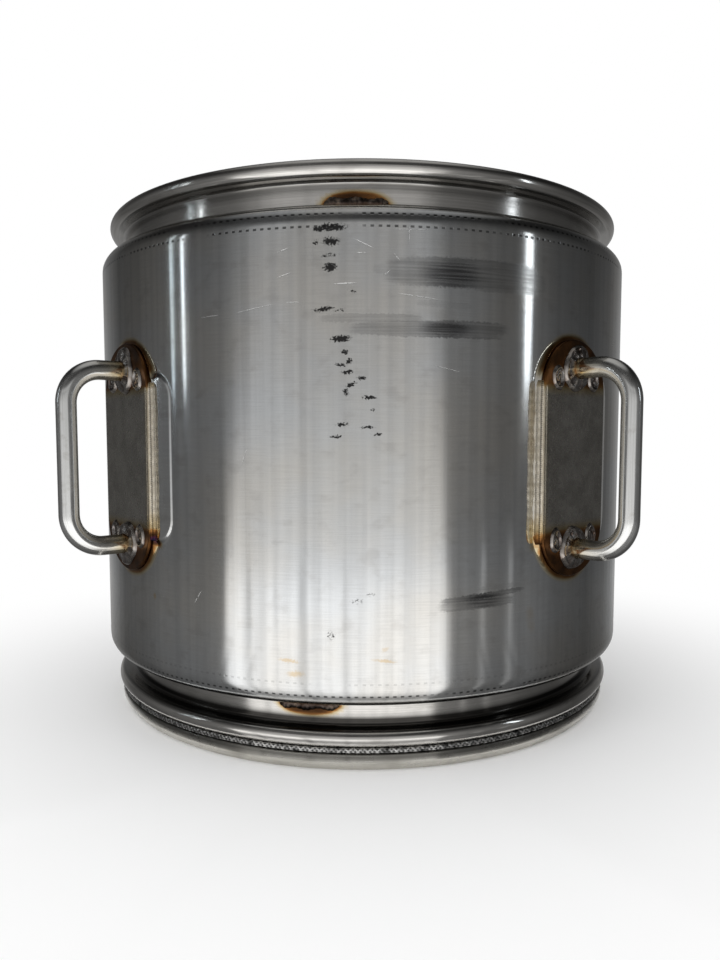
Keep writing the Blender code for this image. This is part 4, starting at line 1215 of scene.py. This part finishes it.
# %% Spun and turned steel
def round_steel(pieces, name, colour, roughness, ring, ring_share, grime):
    """Steel with a ring every so many mm, stained, tempered, and painted dark with the shade noted on its
    mesh.
    """
    made, tree = finish_of(name, 1.0, roughness, colour)
    grained_round(made, 0.5)
    where = round_coordinates(tree)
    fine = 1 / (ring * MM)
    rings = pattern(tree, where, (12, fine, fine))
    stain = pattern(tree, where, (40, 120, 120), 5)
    steel = coated(tree, linear(colour), (rings, 0.35, 0.65, ring_share, "77736D"),
                   (stain, 0.5, 0.75, grime, "6B665C"))
    heat, steel = tempered(tree, steel, stain)
    # Painted shade: the mesh's note turns the fillets under the beads and the collar's upper rim near black.
    settled = add(tree, "Attribute", attribute_name="grime", out="Fac")
    put_on(pieces, made, coated(tree, steel, (settled, 0.93, "17130E")),
           roughened(tree, (stain, 0.35, 0.7, roughness * 0.85, roughness * 1.5), (heat, 0.3)),
           relief(tree, (rings, 0.3, 0.01)))


round_steel([inlet_flange, outlet_flange], "spun_stainless", "E4E1DC", 0.15, 0.5, 0.18, 0.3)
round_steel([pilot_collar], "lathe_turned_stainless", "E0DDD5", 0.26, 0.35, 0.3, 0.4)
round_steel([filter_can, upper_ring, lower_ring], "heat_soaked_stainless", "A3907A", 0.33, 0.6, 0.3, 0.7)

# %% [markdown]
# The handles are bright drawn bar: a mirror with faint draw lines along it and a straw tint at the
# feet. The lines run along the bar's own UV map. The plates are the same sheet as the jacket,
# browned by the welding, and the film leaves them softer and darker than the jacket beside them.

# %% Bar and plate finishes
bar_steel, tree = finish_of("bright_drawn_bar", 1.0, 0.13, "DDD9D1")
draw = add(tree, "Mapping", {"Vector": add(tree, "TexCoord", out="UV"), "Scale": (25.0, 1600.0, 1.0)})
lines = add(tree, "TexNoise", [draw, 1.0, 3.0], out="Fac")
cloud = clouded(tree, 160.0, 4.0)
steel = coated(tree, linear("EDEDEB"), (lines, 0.4, 0.7, 0.2, "9D9B97"), (cloud, 0.55, 0.75, 0.25, "A9A296"))
heat, steel = tempered(tree, steel, cloud)
put_on(handles, bar_steel, steel, roughened(tree, (cloud, 0.3, 0.75, 0.1, 0.22)),
       relief(tree, (lines, 0.2, 0.01)))

plate_steel, tree = finish_of("heat_tinted_stainless", 1.0, 0.28, "A9A49B")
cloud, soot = clouded(tree, 110.0, 5.0), clouded(tree, 420.0, 4.0)
steel = coated(tree, linear("C6C2BA"), (cloud, 0.35, 0.7, 0.45, "97938C"))
heat, steel = tempered(tree, steel, cloud, 0.7)
hottest = add(tree, "MapRange", [heat, 0.35, 0.6], **SMOOTH)
burnt = add(tree, "Math", [add(tree, "MapRange", [cloud, 0.45, 0.62], **SMOOTH), hottest], **TIMES)
put_on(plates, plate_steel, coated(tree, steel, (burnt, 0.4, "2A211B")),
       roughened(tree, (soot, 0.3, 0.7, 0.24, 0.32), (heat, 0.1)), relief(tree, (soot, 0.2, 0.008)))

# %% [markdown]
# Weld metal is a skin of dark oxide over silver, and a highlight is painted on its toes and ripples,
# so the eye reads each lump by a light rim. The plate seams were kept cooler and are straw,
# with dark craters. The stitches burnt brown and stayed rough, with a painted highlight on their toes.

# %% Weld finishes
weld_steel, tree = finish_of("frozen_weld_metal", 1.0, 0.26, "A49D97")
skin = clouded(tree, 260.0, 3.0)
# The bright note adds a painted highlight on the toes, the crests and the plugs' middles.
bright = add(tree, "Attribute", attribute_name="bright", out="Fac")
steel = add(tree, "ValToRGB", [skin], stops=[(0.3, "5E4A3E"), (0.45, "7E7570"), (0.6, "9C9895"),
                                             (0.75, "6E5B50")])
put_on(weld_pieces + [back_seam], weld_steel, coated(tree, steel, (bright, 0.6, "C4BDB5")),
       roughened(tree, (skin, 0.3, 0.7, 0.18, 0.3)), relief(tree, (skin, 0.2, 0.05)))

seam_metal, tree = finish_of("straw_tinted_seam_weld", 1.0, 0.3, "D9D0C0")
skin = clouded(tree, 500.0, 4.0)
groove = add(tree, "Attribute", attribute_name="groove", out="Fac")
steel = coated(tree, linear("FAF4E8"), (skin, 0.4, 0.7, 0.4, "C0B6A4"))
heat, steel = tempered(tree, steel, skin, 0.5)
put_on(seams, seam_metal, coated(tree, steel, (groove, 0.9, "2E1D12")),
       roughened(tree, (skin, 0.3, 0.7, 0.24, 0.38)))

burnt_weld, tree = finish_of("burnt_stitch_weld", 1.0, 0.5, "5B4638")
skin = clouded(tree, 260.0, 4.0)
# The bright note adds a painted highlight along the stitches' toes.
bright = add(tree, "Attribute", attribute_name="bright", out="Fac")
steel = add(tree, "ValToRGB", [skin], stops=[(0.3, "2E2826"), (0.48, "4A4340"), (0.6, "6E655F"),
                                             (0.66, "8F8073"), (0.75, "3A2A26")])
put_on(stitches, burnt_weld, coated(tree, steel, (bright, 0.4, "8A6A52")),
       roughened(tree, (skin, 0.3, 0.7, 0.28, 0.5)), relief(tree, (skin, 0.4, 0.12)))

# %% [markdown]
# The gasket's wires carry a painted highlight on their crowns and a painted shade, near black, in the
# hollows between them, which is what lets the eye count the strands; patches of soot lie over both. The
# filter block is fired cordierite, pale and matt, with soot that deepens down the channels. The mat and
# the blanket are needled ceramic fibre, soft and white, which only a cut-open canister would show.

# %% Wire, ceramic and fibre
wire_steel, tree = finish_of("knitted_steel_wire", 1.0, 0.3, "8F8F8E")
crown = add(tree, "Attribute", attribute_name="wire_height", out="Fac")
soot = clouded(tree, 220.0, 5.0)
# Painted highlight and painted shade: the ramp runs from near black in the hollows to near white on the
# crowns.
steel = add(tree, "ValToRGB", [crown], stops=[(0.0, "0B0B0B"), (0.3, "3A3938"), (0.6, "A3A2A0"),
                                              (1.0, "F0EFEC")])
put_on([gasket], wire_steel, coated(tree, steel, (soot, 0.5, 0.66, 0.85, "161515")),
       roughened(tree, (soot, 0.4, 0.7, 0.25, 0.55)))

ceramic, tree = finish_of("fired_cordierite", 0.0, 0.9, "B9A98F")
level = add(tree, "SeparateXYZ", [add(tree, "TexCoord", out="Object")], out="Z")
level = add(tree, "Math", [level, MIDDLE], operation="SUBTRACT")
level = add(tree, "Math", [level], operation="ABSOLUTE")
depth = add(tree, "Math", [level, BLOCK_HALF], operation="SUBTRACT")
pores, cloud = clouded(tree, 1800.0, 3.0), clouded(tree, 22.0, 4.0)
soot = add(tree, "MapRange", [depth, -6.5 * MM, -0.15 * MM, 0.85, 0.0], **SMOOTH)
clay = coated(tree, linear("C4B498"), (pores, 0.35, 0.65, 1.0, "A69679"), (cloud, 0.45, 0.7, 0.5, "8C7F6B"),
              (soot, 1.0, "2B2622"))
put_on([upper_block, lower_block], ceramic, clay, normal=relief(tree, (pores, 0.4, 0.05)))

fibre, tree = finish_of("needled_ceramic_fibre", 0.0, 0.95, "E2DED3")
feeds = {"Vector": add(tree, "TexCoord", out="Object"), "Scale": 900.0, "Detail": 6.0, "Distortion": 2.0}
strands = add(tree, "TexNoise", feeds, out="Fac")
wool = add(tree, "ValToRGB", [strands], stops=[(0.35, "BDB7A8"), (0.55, "E6E2D7"), (0.7, "F1EEE6")])
put_on([], fibre, wool, normal=relief(tree, (strands, 0.5, 0.2)))
for label in ("insulation_blanket", "support_mat"):
    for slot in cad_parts[label].material_slots:
        slot.material = fibre
